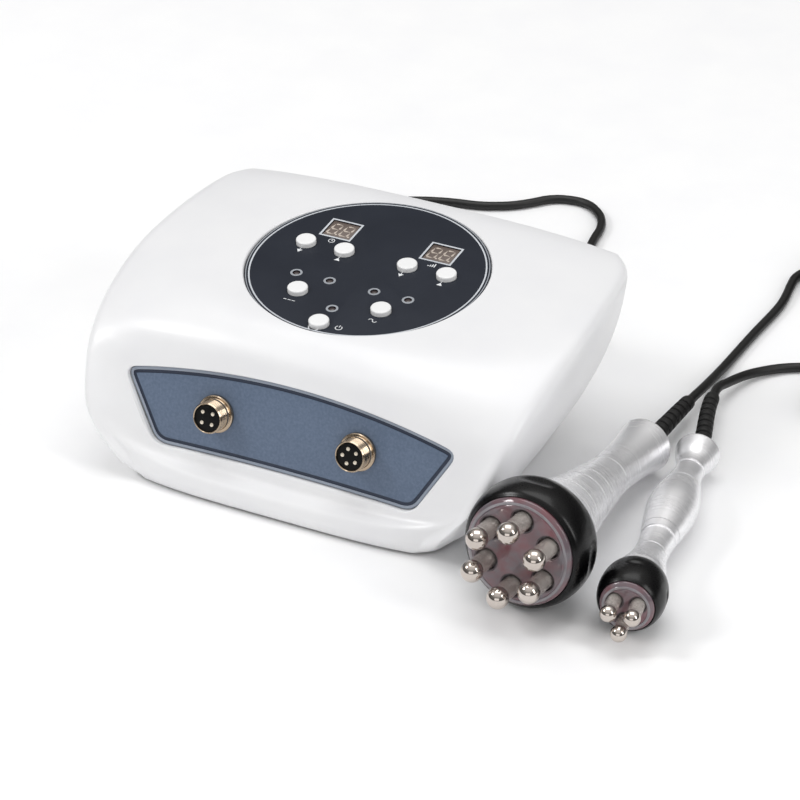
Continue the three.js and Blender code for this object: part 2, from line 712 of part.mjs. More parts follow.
function addInside(group) {
  const floor = footHeight + seatGap + baseThickness + seatGap;
  const core = box(54, 26, 44, -32, -18, floor + 22);
  const windings = box(36, 46, 30, -32, -18, floor + 22);
  add(group, 'transformer', shape(join(solid(core), [windings])), colours.copper);
  const boardLow = floor + 8;
  const posts = [[24, -58], [74, -58], [24, 20], [74, 20]].map(([x, y]) => {
    return post(3, floor, boardLow + 0.5, x, y, 8);
  });
  const parts = [
    ...posts,
    post(9, boardLow + 1, boardLow + 30, 38, -40, 12),
    post(9, boardLow + 1, boardLow + 30, 60, -40, 12),
    box(44, 14, 32, 50, 6, boardLow + 17),
    box(20, 16, 14, 36, -14, boardLow + 8),
    box(12, 12, 12, 62, -16, boardLow + 7),
  ];
  const sheet = solid(box(60, 90, boardThickness, 49, -19, boardLow + boardThickness / 2));
  add(group, 'rf_board', shape(join(sheet, parts)), colours.board);
}

// Handpieces
function electrodeAngle(spec, k) {
  return radians(spec.electrodeTurn + (360 / spec.electrodes) * k);
}

function electrodePlace(spec, k) {
  const a = electrodeAngle(spec, k);
  return [spec.electrodeCircle * Math.cos(a), 0, spec.electrodeCircle * Math.sin(a)];
}

function handpieceLens(spec) {
  const { lensRadius: r, lensThickness: end, wellRadius, wellDepth, stemRadius } = spec;
  const body = solid(turned([[0, 0], [r - 2, 0], [r - 0.5, 0.7], [r, 2], [r, end], [0, end]], turnedSides));
  const tools = Array.from({ length: spec.electrodes }, (_, k) => {
    const place = electrodePlace(spec, k);
    const well = turned([[0, -1], [wellRadius, -1], [wellRadius, wellDepth], [0, wellDepth]], stemSides);
    return well.translate(...place);
  });
  const bores = Array.from({ length: spec.electrodes }, (_, k) => {
    const r2 = stemRadius + seatGap;
    const bore = turned([[0, -1], [r2, -1], [r2, end + 1], [0, end + 1]], stemSides);
    return bore.translate(...electrodePlace(spec, k));
  });
  return shape(cut(body, [...tools, ...bores]));
}

function electrode(spec, k) {
  const { ballRadius, stemRadius, standoff, collarTop } = spec;
  const ball = Array.from({ length: 5 }, (_, n) => {
    const a = (n / 5) * (Math.PI - Math.asin(stemRadius / ballRadius));
    return [ballRadius * Math.sin(a), -standoff - ballRadius * Math.cos(a)];
  });
  const waist = -standoff + Math.sqrt(ballRadius ** 2 - stemRadius ** 2);
  const end = collarTop - seatGap - boardThickness - seatGap;
  const profile = [...ball, [stemRadius, waist], [stemRadius, end], [0, end]];
  return shape(solid(turned(profile, stemSides))).translate(...electrodePlace(spec, k));
}

function lampBoard(spec) {
  const high = spec.collarTop - seatGap;
  const low = high - boardThickness;
  const radius = spec.lensRadius - 0.5;
  const disc = solid(turned([[0, low], [radius, low], [radius, high], [0, high]], turnedSides));
  const lamps = Array.from({ length: spec.electrodes }, (_, k) => {
    const a = electrodeAngle(spec, k + 0.5);
    const reach = spec.electrodeCircle * 1.08;
    return box(2.6, 2.6, 2.6, reach * Math.cos(a), low, reach * Math.sin(a));
  });
  return shape(join(disc, [...lamps, box(2.6, 2.6, 2.6, 0, low, 0)]));
}

function handpieceCollar(spec) {
  const pocket = spec.lensRadius + seatGap;
  const bore = spec.neck[0][0] - 1.2;
  const rear = spec.collar.at(-1)[1];
  const front = spec.collar[0][1];
  const inner = [[bore, rear], [bore, spec.collarTop], [pocket, spec.collarTop], [pocket, front]];
  return turned([...spec.collar, ...inner, spec.collar[0]], turnedSides);
}

function handpieceNeck(spec) {
  const nose = spec.neck[0][0] - 1.2 - seatGap;
  const shoulder = spec.collar.at(-1)[1] + seatGap;
  const start = [[0, spec.neckTop], [nose, spec.neckTop], [nose, shoulder], [spec.neck[0][0], shoulder]];
  const profile = [...start, ...spec.neck.slice(1), [0, spec.neck.at(-1)[1]]];
  return shape(solid(turned(profile, turnedSides)));
}

function handpieceGrip(spec) {
  const profile = [[0, spec.grip[0][1]], ...spec.grip, [spec.rearRadius - 1, spec.length], [0, spec.length]];
  return shape(solid(turned(profile, 16)));
}

// The handpiece lies on its collar and its rear end, so its axis slopes down to the rear
function handpieceFrame(spec) {
  const slope = ([radius, station]) => (radius - spec.rearRadius) / (spec.rearStation - station);
  const [wide, station] = spec.collar.reduce((a, b) => (slope(b) > slope(a) ? b : a));
  const pitch = Math.atan(slope([wide, station]));
  const frame = new THREE.Group();
  frame.rotation.set(-pitch, 0, -radians(spec.heading), 'ZXY');
  frame.position.set(...spec.place, station * Math.sin(pitch) + wide * Math.cos(pitch));
  frame.updateMatrix();
  return frame;
}

// Ribbed sleeve that bends from the handpiece to its cord
function boot(spec, frame) {
  const from = vector(0, spec.length + seatGap, 0).applyMatrix4(frame.matrix);
  const along = vector(0, 18, 0).transformDirection(frame.matrix).multiplyScalar(18);
  const tip = vector(...spec.bootTip);
  const aim = vector(...spec.bootAim).normalize();
  const behind = tip.clone().addScaledVector(aim, -18);
  const bend = new THREE.CubicBezierCurve3(from, from.clone().add(along), behind, tip);
  const line = bend.getSpacedPoints(2 * bootRibs);
  const radii = line.map((_, n) => {
    const radius = spec.bootRadius + (bootTipRadius - spec.bootRadius) * (n / (2 * bootRibs));
    return n % 2 ? radius : radius - 0.7;
  });
  radii[0] = spec.bootRadius;
  return { geometry: sweep(line, radii, 8), tip, aim };
}

// Cords. A coil winds inwards on the floor, climbs in half a turn and winds outwards on top.
function coilLine({ centre, turns, startAngle, turn, meanRadius }, plugAxis) {
  const outer = meanRadius + (coilPitch * turns) / 4;
  const steps = Math.round(turns * coilSteps);
  const climb = 0.25 / turns;
  const points = Array.from({ length: steps + 1 }, (_, n) => {
    const u = n / steps;
    const radius = outer - coilPitch * turns * Math.min(u, 1 - u);
    const angle = radians(startAngle) + turn * 2 * Math.PI * turns * u;
    const rise = THREE.MathUtils.smoothstep(u, 0.5 - climb, 0.5 + climb);
    const z = cordHeight + coilPitch * rise;
    return vector(centre[0] + radius * Math.cos(angle), centre[1] + radius * Math.sin(angle), z);
  });
  const lead = points[0].clone().sub(points[1]).setZ(0).normalize();
  const tail = points.at(-1).clone().sub(points.at(-2)).setZ(0).normalize();
  const entry = [2, 1].map((k) => points[0].clone().addScaledVector(lead, k * cordDiameter));
  const exit = [0.2, 0.5, 0.8, 1].map((k) => {
    const p = points.at(-1).clone().addScaledVector(tail, k * coilTail);
    return p.setZ(p.z + (plugAxis - p.z) * THREE.MathUtils.smoothstep(k, 0, 0.8));
  });
  return [...entry, ...points, ...exit];
}

// Least distance between windings, less the cord's own thickness
function leastGap(line) {
  const runs = [0];
  line.slice(1).forEach((p, n) => runs.push(runs[n] + p.distanceTo(line[n])));
  let least = Infinity;
  line.forEach((p, i) => {
    for (let j = i + 1; j + 1 < line.length; j += 1) {
      if (runs[j] - runs[i] > 6 * cordDiameter) {
        const span = new THREE.Line3(line[j], line[j + 1]);
        least = Math.min(least, span.closestPointToPoint(p, true, vector()).distanceTo(p));
      }
    }
  });
  return least - cordDiameter;
}

// Free run of a cord from one face to the next, straight at both ends
function freeCord(from, aim, route, line) {
  const into = line[1].clone().sub(line[0]).normalize();
  const start = from.clone().addScaledVector(aim, seatGap);
  const end = line[0].clone().addScaledVector(into, -seatGap);
  const points = [
    start,
    start.clone().addScaledVector(aim, 2 * cordDiameter),
    ...route.map((p) => vector(...p)),
    end.clone().addScaledVector(into, -2 * cordDiameter),
    end,
  ];
  const path = new THREE.CatmullRomCurve3(points, false, 'centripetal');
  const along = path.getSpacedPoints(Math.round(path.getLength() / cordStep));
  along.forEach((p) => p.setZ(Math.max(p.z, cordHeight)));
  return sweep(along, along.map(() => cordDiameter / 2), cordSides);
}

// A frame whose y axis runs on from the end of a coil
function plugFrame(line) {
  const along = line.at(-1).clone().sub(line.at(-2)).setZ(0).normalize();
  const right = vector(along.y, -along.x, 0);
  return frameAt(line.at(-1).clone().addScaledVector(along, seatGap).toArray(), right, along);
}

function plugBody() {
  const profile = [
    [0, 0], [3.8, 0], [5, 8], [7.2, 9], [plugRadius, 11], [plugRadius, 28], [6.1, 28], [6.1, 33],
    [7.9, 33], [7.9, 35], [6.1, 35], [6.1, plugLength], [5.2, plugLength], [5.2, plugLength - 1],
    [0, plugLength - 1],
  ];
  return shape(solid(turned(profile, plugSides)));
}

function plugRing() {
  const start = 28 + seatGap;
  const end = start + plugRingLength;
  const lip = 33 - seatGap;
  const outer = [[6.4, start], [plugRingRadius, start], [plugRingRadius, end]];
  return turned([...outer, [8.25, end], [8.25, lip], [6.4, lip], [6.4, start]], plugSides);
}

function mainsPlug() {
  const [width, height, length] = mainsPlugSize;
  const half = width / 2;
  const corners = [
    [-4.5, 0], [4.5, 0], [6.5, 12], [half, 22], [half, length], [-half, length], [-half, 22], [-6.5, 12],
  ];
  const outline = corners.map(([x, y]) => new THREE.Vector2(x, y));
  const body = solid(slab(outline, [], -height / 2, height / 2));
  const taper = [[0, -1], [4.2, -1], [5.2, 12], [half + 3, 22], [half + 3, 60], [0, 60]];
  const trim = solid(turned(taper, plugSides));
  const pins = [-9.5, 9.5].map((x) => {
    const high = length + pinLength;
    const tip = [[pinRadius, high - 1], [pinRadius - 0.7, high], [0, high]];
    return turned([[0, length - 1], [pinRadius, length - 1], ...tip], 10).translate(x, 0, 0);
  });
  return shape(join(body.intersect(trim), pins));
}

function addHandpiece(group, spec, coil) {
  const frame = handpieceFrame(spec);
  group.add(frame);
  const { name } = spec;
  add(frame, `${name}_lens`, handpieceLens(spec), colours.smoky);
  add(frame, `${name}_collar`, handpieceCollar(spec), colours.black);
  add(frame, `${name}_neck`, handpieceNeck(spec), colours.aluminium);
  add(frame, `${name}_grip`, handpieceGrip(spec), colours.aluminium);
  add(frame, `${name}_lamp_board`, lampBoard(spec), colours.board);
  for (let k = 0; k < spec.electrodes; k += 1) {
    add(frame, `${name}_electrode_${k + 1}`, electrode(spec, k), colours.chrome);
  }
  const sleeve = boot(spec, frame);
  add(group, `${name}_boot`, sleeve.geometry, colours.rubber);
  const line = coilLine(coil, plugRingRadius + 0.05);
  console.log(`${name} coil, least gap between windings: ${leastGap(line).toFixed(2)} mm`);
  add(group, `${name}_cord`, freeCord(sleeve.tip, sleeve.aim, spec.route, line), colours.rubber);
  add(group, `${name}_coil`, coilTube(line), colours.rubber);
  const end = plugFrame(line);
  group.add(end);
  add(end, `${name}_plug`, plugBody(), colours.black);
  add(end, `${name}_plug_ring`, plugRing(), colours.nickel);
}

function coilTube(line) {
  return sweep(line, line.map(() => cordDiameter / 2), coilSides);
}

function addMainsCord(group) {
  const aim = vector(0, 0, 1).transformDirection(rearFrame.matrix);
  const from = vector(-glandPlace, 0, glandLength).applyMatrix4(rearFrame.matrix);
  const line = coilLine(mainsCoil, mainsPlugSize[1] / 2 + 0.05);
  console.log(`mains coil, least gap between windings: ${leastGap(line).toFixed(2)} mm`);
  add(group, 'mains_cord', freeCord(from, aim, mainsRoute, line), colours.rubber);
  add(group, 'mains_coil', coilTube(line), colours.rubber);
  const end = plugFrame(line);
  group.add(end);
  add(end, 'mains_plug', mainsPlug(), colours.rubber);
}

const set = new THREE.Group();
add(set, 'casing', casing(), colours.white);
add(set, 'base_plate', basePlate(), colours.white);
footPlaces.forEach(([x, y], n) => add(set, `foot_${n + 1}`, foot(x, y), colours.rubber));
set.add(plateFrame, panelFrame, rearFrame);
addControls();
addSockets();
addRear();
addInside(set);
addHandpiece(set, largeHandpiece, largeCoil);
addHandpiece(set, smallHandpiece, smallCoil);
addMainsCord(set);

// The origin is below the middle of everything but the cords
set.updateMatrixWorld(true);
const bounds = new THREE.Box3();
set.traverse((node) => {
  const loose = /_(cord|coil|plug|plug_ring)$/.test(node.name);
  if (node.isMesh && !loose) bounds.union(new THREE.Box3().setFromObject(node, true));
});
const middle = bounds.getCenter(vector());
set.position.set(-middle.x, -middle.y, 0);
export default set;
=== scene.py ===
# Radio frequency beauty machine: console, two handpieces on their cords, and the mains cord
import bmesh
import bpy
from bisect import bisect
from math import asin, atan, atan2, copysign, cos, hypot, pi, radians, sin
from mathutils import Matrix, Vector
from mathutils.bvhtree import BVHTree


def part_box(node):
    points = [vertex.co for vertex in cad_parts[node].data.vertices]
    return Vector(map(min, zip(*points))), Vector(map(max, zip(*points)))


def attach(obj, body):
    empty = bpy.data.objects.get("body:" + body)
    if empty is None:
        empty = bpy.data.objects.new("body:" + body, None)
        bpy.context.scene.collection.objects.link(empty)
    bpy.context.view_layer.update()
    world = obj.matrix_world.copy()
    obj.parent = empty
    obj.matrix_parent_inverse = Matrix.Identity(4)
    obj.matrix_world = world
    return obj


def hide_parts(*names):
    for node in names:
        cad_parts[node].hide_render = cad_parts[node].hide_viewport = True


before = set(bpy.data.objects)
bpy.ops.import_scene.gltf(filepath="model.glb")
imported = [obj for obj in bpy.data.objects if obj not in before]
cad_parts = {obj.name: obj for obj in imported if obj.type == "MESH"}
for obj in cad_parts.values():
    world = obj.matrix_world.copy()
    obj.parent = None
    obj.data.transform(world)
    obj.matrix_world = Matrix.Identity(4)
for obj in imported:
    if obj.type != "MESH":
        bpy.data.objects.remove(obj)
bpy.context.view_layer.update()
mm = 0.001

# the plan counts from below the middle of the control plate, and the first foot gives its shift in the frame
footSpots = [(-68, -78), (68, -78), (-64, 26), (64, 26)]
footLow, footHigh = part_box("foot_1")
shift = Vector([(low + high) / 2 - spot * mm for low, high, spot in zip(footLow, footHigh, footSpots[0])] + [0])
plan = Matrix.Translation(shift) @ Matrix.Scale(mm, 4)  # millimetres of the plan to metres of the frame


def space(place, right=(1, 0, 0), up=(0, 1, 0)):
    right, up = Vector(right).normalized(), Vector(up).normalized()
    turned = Matrix((right, up, right.cross(up))).transposed().to_4x4()
    return plan @ Matrix.Translation(place) @ turned


def newObject(name, data):
    obj = bpy.data.objects.new(name, data)
    bpy.context.collection.objects.link(obj)
    return obj


def tilted(degrees):
    return (0, cos(radians(degrees)), sin(radians(degrees)))


plateSpace = space((0, 0, 90), up=tilted(4.8))
panelSpace = space((0, -92.7, 20), up=tilted(76.2))
rearSpace = space((37, 60.6, 40), right=(-1, 0, 0), up=tilted(73))

# camera at the photograph's angle
camera = dict(azimuth=26.82, elevation=29.12, roll=-0.1, distance=1609.5, focalPixels=3221.96,
              target=(0, 0, 90), targetPixel=(367.67, 268.32), picture=800)


def addCamera(c):
    a, e, r = radians(c["azimuth"]), radians(c["elevation"]), radians(c["roll"])
    back = Vector((sin(a) * cos(e), -cos(a) * cos(e), sin(e)))
    flat = Vector((cos(a), sin(a), 0))
    rise = back.cross(flat)
    right = cos(r) * flat + sin(r) * rise
    up = cos(r) * rise - sin(r) * flat
    half = c["picture"] / 2
    ray = Vector(((c["targetPixel"][0] - half) / c["focalPixels"],
                  (half - c["targetPixel"][1]) / c["focalPixels"], -1)).normalized()
    turn = Vector((0, 0, -1)).rotation_difference(ray).to_matrix()
    axes = Matrix((right, up, back)).transposed() @ turn.transposed()
    data = bpy.data.cameras.new("camera")
    data.sensor_width = 36
    data.lens = c["focalPixels"] / c["picture"] * data.sensor_width
    data.clip_start, data.clip_end = 0.05, 20
    eye = newObject("camera", data)
    eye.matrix_world = Matrix.Translation(plan @ Vector(c["target"]) + back * c["distance"] * mm) @ axes.to_4x4()
    bpy.context.scene.camera = eye


addCamera(camera)
print("camera stands at the photograph's angle")


# lines and meshes that several pieces share
def tone(r, g, b):
    return tuple((v / 255) ** 2.2 for v in (r, g, b)) + (1,)


def between(rows, t):  # a smooth curve through rows of numbers, t from 0 to the last row
    last = len(rows) - 1
    n = min(max(int(t), 0), last - 1)
    f = t - n
    near = [rows[min(max(k, 0), last)] for k in (n - 1, n, n + 1, n + 2)]
    return [b + 0.5 * f * (c - a + f * (2 * a - 5 * b + 4 * c - d + f * (3 * (b - c) + d - a)))
            for a, b, c, d in zip(*near)]


def smoothLine(points, steps=5):
    return [tuple(between(points, k / steps)) for k in range((len(points) - 1) * steps + 1)]


def grooved(line, grooves):  # turns grooves (station, width, depth) into a profile of (radius, station)
    stations = [s for _, s in line]
    def radius(s):
        n = min(max(bisect(stations, s), 1), len(line) - 1)
        (r0, s0), (r1, s1) = line[n - 1], line[n]
        return r0 + (r1 - r0) * (s - s0) / (s1 - s0)
    cuts = [(radius(g + side * (w / 2 - step)) - deep * d, g + side * (w / 2 - step))
            for g, w, d in grooves for side, step, deep in ((-1, 0, 0), (-1, 0.25, 1), (1, 0.25, 1), (1, 0, 0))]
    kept = [p for p in line if all(abs(p[1] - g) > w / 2 + 0.1 for g, w, d in grooves)]
    return sorted(kept + cuts, key=lambda p: p[1])


def bent(start, corner, end, t):
    return start * (1 - t) ** 2 + corner * 2 * t * (1 - t) + end * t ** 2


def roundCorner(before, corner, after, reach, steps):
    start, end = (corner + (q - corner).normalized() * reach for q in (before, after))
    return [bent(start, corner, end, k / steps) for k in range(steps + 1)]


def roundedLine(points, radius, steps=4):  # rounds the inner corners of an open profile
    line, share = [Vector(p) for p in points], 0.45
    made = [points[0]]
    for a, p, b in zip(line, line[1:], line[2:]):
        reach = min(radius, (a - p).length * share, (b - p).length * share)
        made += [tuple(q) for q in roundCorner(a, p, b, reach, steps)]
    return made + [points[-1]]


def spun(profile, axis="Z", steps=64, bm=None, offset=(0, 0, 0)):  # turns (radius, station) about an axis
    bm = bm or bmesh.new()
    along = Vector((0, 1, 0)) if axis == "Y" else Vector((0, 0, 1))
    corner = [bm.verts.new(Vector((r, 0, 0)) + along * s + Vector(offset)) for r, s in profile]
    edges = [bm.edges.new(pair) for pair in zip(corner, corner[1:])]
    bmesh.ops.spin(bm, geom=corner + edges, cent=offset, axis=along, angle=2 * pi, steps=steps, use_merge=True)
    bmesh.ops.remove_doubles(bm, verts=bm.verts, dist=1e-4)
    return bm


def spunAt(spots, profile, axis, steps):  # the same turned form at each spot
    bm = bmesh.new()
    for spot in spots:
        spun(profile, axis, steps, bm, spot)
    return bm


def block(size, centre, bevel=0.0, segments=3, bm=None):
    bm = bm or bmesh.new()
    made = bmesh.ops.create_cube(bm, size=1, matrix=Matrix.Translation(centre) @ Matrix.Diagonal((*size, 1)))
    if bevel:
        edges = list({e for v in made["verts"] for e in v.link_edges})
        bmesh.ops.bevel(bm, geom=edges, offset=bevel, offset_type="OFFSET", segments=segments, profile=0.5,
                        affect="EDGES", material=-1, clamp_overlap=True)
    return bm


def pillar(radius, low, high, x=0, y=0, steps=32, bm=None):
    bm = bm or bmesh.new()
    bmesh.ops.create_cone(bm, cap_ends=True, segments=steps, radius1=radius, radius2=radius, depth=high - low,
                          matrix=Matrix.Translation((x, y, (low + high) / 2)))
    return bm


def newRing(bm, points):  # a closed loop of edges with a face in it
    ring = [bm.verts.new(p) for p in points]
    for pair in zip(ring, ring[1:] + ring[:1]):
        bm.edges.new(pair)
    bmesh.ops.contextual_create(bm, geom=ring)
    return ring


def nextRing(bm, ring):  # extrudes a closed loop of edges, and gives the new loop in the same order
    edges = [bm.edges.get(pair) for pair in zip(ring, ring[1:] + ring[:1])]
    fresh = {v for v in bmesh.ops.extrude_edge_only(bm, edges=edges)["geom"] if isinstance(v, bmesh.types.BMVert)}
    return [next(e.other_vert(v) for e in v.link_edges if e.other_vert(v) in fresh) for v in ring]


def plainMesh(bm):
    mesh = bpy.data.meshes.new("made")
    bm.to_mesh(mesh)
    bm.free()
    return mesh


def appliedMesh(obj):  # what an object's modifiers make of it
    bpy.context.view_layer.update()
    return bpy.data.meshes.new_from_object(obj.evaluated_get(bpy.context.evaluated_depsgraph_get()))


def meshOf(bm, place=None, sharp=35):
    if place is not None:
        bmesh.ops.transform(bm, matrix=place, verts=bm.verts)
    bmesh.ops.recalc_face_normals(bm, faces=bm.faces)
    mesh = plainMesh(bm)
    mesh.polygons.foreach_set("use_smooth", [True] * len(mesh.polygons))
    if sharp:
        mesh.set_sharp_from_angle(angle=radians(sharp))
    return mesh


def addPiece(name, mesh, finish, body, slot, *nodes):
    obj = newObject(name, mesh)
    mesh.materials.clear()
    mesh.materials.append(finish)
    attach(obj, body)
    if nodes:
        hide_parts(*nodes)
    return obj


def carved(mesh, *tools, sharp=35):  # (operation, mesh) pairs, one after another
    body = newObject("body", mesh)
    helpers = [newObject("tool", tool) for operation, tool in tools]
    for helper, (operation, tool) in zip(helpers, tools):
        step = body.modifiers.new("step", "BOOLEAN")
        step.operation, step.solver, step.object = operation, "EXACT", helper
    result = appliedMesh(body)
    for obj in [body, *helpers]:
        bpy.data.objects.remove(obj)
    result.polygons.foreach_set("use_smooth", [True] * len(result.polygons))
    result.set_sharp_from_angle(angle=radians(sharp))
    return result


def cut(bm, holes, place=None, sharp=35):  # bm less its holes, set in its place
    mesh = carved(meshOf(bm), ("DIFFERENCE", meshOf(holes)), sharp=sharp)
    if place is not None:
        mesh.transform(place)
    return mesh


# materials
def shaderNode(tree, kind, **values):
    node = tree.nodes.new(kind)
    for key, value in values.items():
        if key in node.bl_rna.properties:
            setattr(node, key, value)
        else:
            node.inputs[key].default_value = value
    return node


def newGroup(name, inputs, outputs):
    tree = bpy.data.node_groups.new(name, "ShaderNodeTree")
    for label, kind, value in inputs:
        socket = tree.interface.new_socket(label, in_out="INPUT", socket_type=kind)
        if value is not None:
            socket.default_value = value
    for label, kind in outputs:
        tree.interface.new_socket(label, in_out="OUTPUT", socket_type=kind)
    return tree, tree.nodes.new("NodeGroupInput"), tree.nodes.new("NodeGroupOutput")


def wire(tree, *pairs):
    for source, socket in pairs:
        tree.links.new(source, socket)


surfaceOutputs = [("Colour", "NodeSocketColor"), ("Roughness", "NodeSocketFloat"), ("Normal", "NodeSocketVector")]


def finishGroup(tree, given, result, tint, sheen, height, distance):  # what both kinds of surface put out
    mix = shaderNode(tree, "ShaderNodeMix", data_type="RGBA")
    gloss = shaderNode(tree, "ShaderNodeMath", operation="MULTIPLY_ADD")
    bump = shaderNode(tree, "ShaderNodeBump", Distance=distance)
    first, second, mixed = (socket for socket in [*mix.inputs, *mix.outputs] if socket.type == "RGBA")
    wire(tree, (tint, mix.inputs["Factor"]), (given.outputs["Colour"], first),
         (given.outputs["Second Colour"], second),
         *zip((sheen, given.outputs["Gloss Drift"], given.outputs["Gloss"]), gloss.inputs),
         (given.outputs["Depth"], bump.inputs["Strength"]), (height, bump.inputs["Height"]),
         (mixed, result.inputs["Colour"]), (gloss.outputs[0], result.inputs["Roughness"]),
         (bump.outputs["Normal"], result.inputs["Normal"]))


# moulded surfaces: a fine grain, and a slow drift of colour and gloss
def buildMouldedGroup():
    tree, given, result = newGroup("mouldedSurface", [
        ("Colour", "NodeSocketColor", (0.8, 0.8, 0.8, 1)), ("Second Colour", "NodeSocketColor", (0.7, 0.7, 0.7, 1)),
        ("Scale", "NodeSocketFloat", 1500), ("Depth", "NodeSocketFloat", 0.1), ("Gloss", "NodeSocketFloat", 0.4),
        ("Gloss Drift", "NodeSocketFloat", 0.08), ("Drift Scale", "NodeSocketFloat", 24)], surfaceOutputs)
    place = tree.nodes.new("ShaderNodeTexCoord").outputs["Object"]
    slow = shaderNode(tree, "ShaderNodeTexNoise", Detail=3, Roughness=0.55)
    fine = shaderNode(tree, "ShaderNodeTexNoise", Detail=2, Roughness=0.6)
    ramp = shaderNode(tree, "ShaderNodeMapRange", **{"From Min": 0.35, "From Max": 0.7})
    wire(tree, (place, slow.inputs["Vector"]), (given.outputs["Drift Scale"], slow.inputs["Scale"]),
         (place, fine.inputs["Vector"]), (given.outputs["Scale"], fine.inputs["Scale"]),
         (slow.outputs["Fac"], ramp.inputs["Value"]))
    finishGroup(tree, given, result, ramp.outputs["Result"], fine.outputs["Fac"], fine.outputs["Fac"], 0.0001)
    return tree


mouldedGroup = buildMouldedGroup()


def newMaterial(name, **sockets):
    material = bpy.data.materials.new(name)
    material.use_nodes = True
    tree = material.node_tree
    shader = tree.nodes["Principled BSDF"]
    for key, value in sockets.items():
        shader.inputs[key].default_value = value
    return material, tree, shader


# lays a surface group under the shader: two colours, scale and depth of the relief, gloss and its drift
def surfaced(tree, shader, group, values, **more):
    node = shaderNode(tree, "ShaderNodeGroup", node_tree=group)
    colour, second, *numbers = values
    keys = ("Colour", "Second Colour", "Scale", "Depth", "Gloss", "Gloss Drift")
    for key, value in [*zip(keys, (tone(*colour), tone(*second), *numbers)), *more.items()]:
        node.inputs[key].default_value = value
    wire(tree, *zip(node.outputs, (shader.inputs[key] for key in ("Base Color", "Roughness", "Normal"))))
    return node


def moulded(name, *values, blotch=24, **sockets):
    material, tree, shader = newMaterial(name, **sockets)
    surfaced(tree, shader, mouldedGroup, values, **{"Drift Scale": blotch})
    return material


# turned metal: fine lathe lines round the axis of its own space, and faint handling marks
def buildTurnedGroup():
    tree, given, result = newGroup("turnedMetal", [
        ("Station", "NodeSocketFloat", 0), ("Place", "NodeSocketVector", None),
        ("Colour", "NodeSocketColor", (0.8, 0.8, 0.8, 1)), ("Second Colour", "NodeSocketColor", (0.6, 0.6, 0.6, 1)),
        ("Scale", "NodeSocketFloat", 2500), ("Depth", "NodeSocketFloat", 0.1), ("Gloss", "NodeSocketFloat", 0.3),
        ("Gloss Drift", "NodeSocketFloat", 0.1)], surfaceOutputs)
    lines = shaderNode(tree, "ShaderNodeTexNoise", noise_dimensions="1D", Detail=3, Roughness=0.7)
    marks = shaderNode(tree, "ShaderNodeTexNoise", Scale=60, Detail=4, Roughness=0.6)
    both = shaderNode(tree, "ShaderNodeMath", operation="MULTIPLY")
    wire(tree, (given.outputs["Station"], lines.inputs["W"]), (given.outputs["Scale"], lines.inputs["Scale"]),
         (given.outputs["Place"], marks.inputs["Vector"]), (lines.outputs["Fac"], both.inputs[0]),
         (marks.outputs["Fac"], both.inputs[1]))
    finishGroup(tree, given, result, both.outputs[0], both.outputs[0], lines.outputs["Fac"], 0.00005)
    return tree


turnedGroup = buildTurnedGroup()


def turnedMetal(name, own, axis, *values, metallic=1.0):
    material, tree, shader = newMaterial(name, Metallic=metallic)
    group = surfaced(tree, shader, turnedGroup, values)
    where = tree.nodes.new("ShaderNodeTexCoord")
    settle = shaderNode(tree, "ShaderNodeMapping", vector_type="TEXTURE", Location=own.translation,
                        Rotation=own.to_euler())
    apart = tree.nodes.new("ShaderNodeSeparateXYZ")
    settled = settle.outputs["Vector"]
    wire(tree, (where.outputs["Object"], settle.inputs["Vector"]), (settled, apart.inputs["Vector"]),
         (apart.outputs[axis], group.inputs["Station"]), (settled, group.inputs["Place"]))
    return material


casingWhite = moulded("casingWhite", (235, 235, 236), (231, 231, 233), 2600, 0.06, 0.30, 0.06,
                      **{"Coat Weight": 0.15, "Coat Roughness": 0.2, "IOR": 1.48})
buttonWhite = moulded("buttonWhite", (240, 240, 240), (235, 235, 235), 3000, 0.04, 0.26, 0.08)
plateGraphite = moulded("plateGraphite", (35, 39, 48), (41, 45, 54), 3200, 0.1, 0.32, 0.12,
                        **{"Specular IOR Level": 0.22})
printSilver = moulded("printSilver", (205, 209, 214), (190, 194, 200), 4000, 0.05, 0.35, 0.1)
printGrey = moulded("printGrey", (158, 162, 168), (146, 150, 156), 4000, 0.05, 0.3, 0.1)
printWhite = moulded("printWhite", (232, 234, 236), (222, 224, 226), 4000, 0.05, 0.45, 0.1)
panelBlue = moulded("panelBlueGrey", (88, 103, 125), (99, 114, 136), 2200, 0.35, 0.48, 0.15, blotch=700)
# on the panel's own blue grey: navy in the groove is painted shade, the lighter rim grey a painted highlight
panelGrooveShade = moulded("panelGrooveShade", (40, 49, 67), (46, 55, 73), 2200, 0.2, 0.4, 0.1)
panelRimHighlight = moulded("panelRimHighlightGrey", (148, 156, 169), (136, 145, 159), 2200, 0.2, 0.3, 0.12)
blackPlastic = moulded("blackPlastic", (22, 22, 24), (28, 28, 30), 2600, 0.2, 0.34, 0.16)
socketBlack = moulded("socketBlack", (5, 5, 5), (9, 9, 9), 2600, 0.2, 0.5, 0.12, **{"Specular IOR Level": 0.2})
collarBlack = moulded("collarBlack", (8, 8, 9), (13, 13, 15), 1800, 0.1, 0.24, 0.08,
                      **{"Specular IOR Level": 0.24, "Coat Weight": 0.1, "Coat Roughness": 0.12})
rubberBlack = moulded("rubberBlack", (14, 14, 14), (22, 22, 22), 1500, 0.4, 0.5, 0.2)
cordBlack = moulded("cordBlack", (12, 12, 12), (20, 20, 20), 1200, 0.3, 0.4, 0.16)
windowBrown = moulded("windowBrown", (108, 96, 90), (97, 85, 79), 1800, 0.05, 0.22, 0.1,
                      **{"Coat Weight": 0.6, "Coat Roughness": 0.06})
segmentTan = moulded("segmentTan", (196, 184, 172), (182, 170, 158), 2400, 0.05, 0.4, 0.1)
# dark cups in the lens wells: painted shade
wellShadeBrown = moulded("wellShadeBrown", (94, 84, 87), (80, 69, 73), 1400, 0.05, 0.18, 0.1, blotch=95)
boardGreen = moulded("boardGreen", (28, 92, 58), (36, 106, 66), 900, 0.15, 0.38, 0.15)
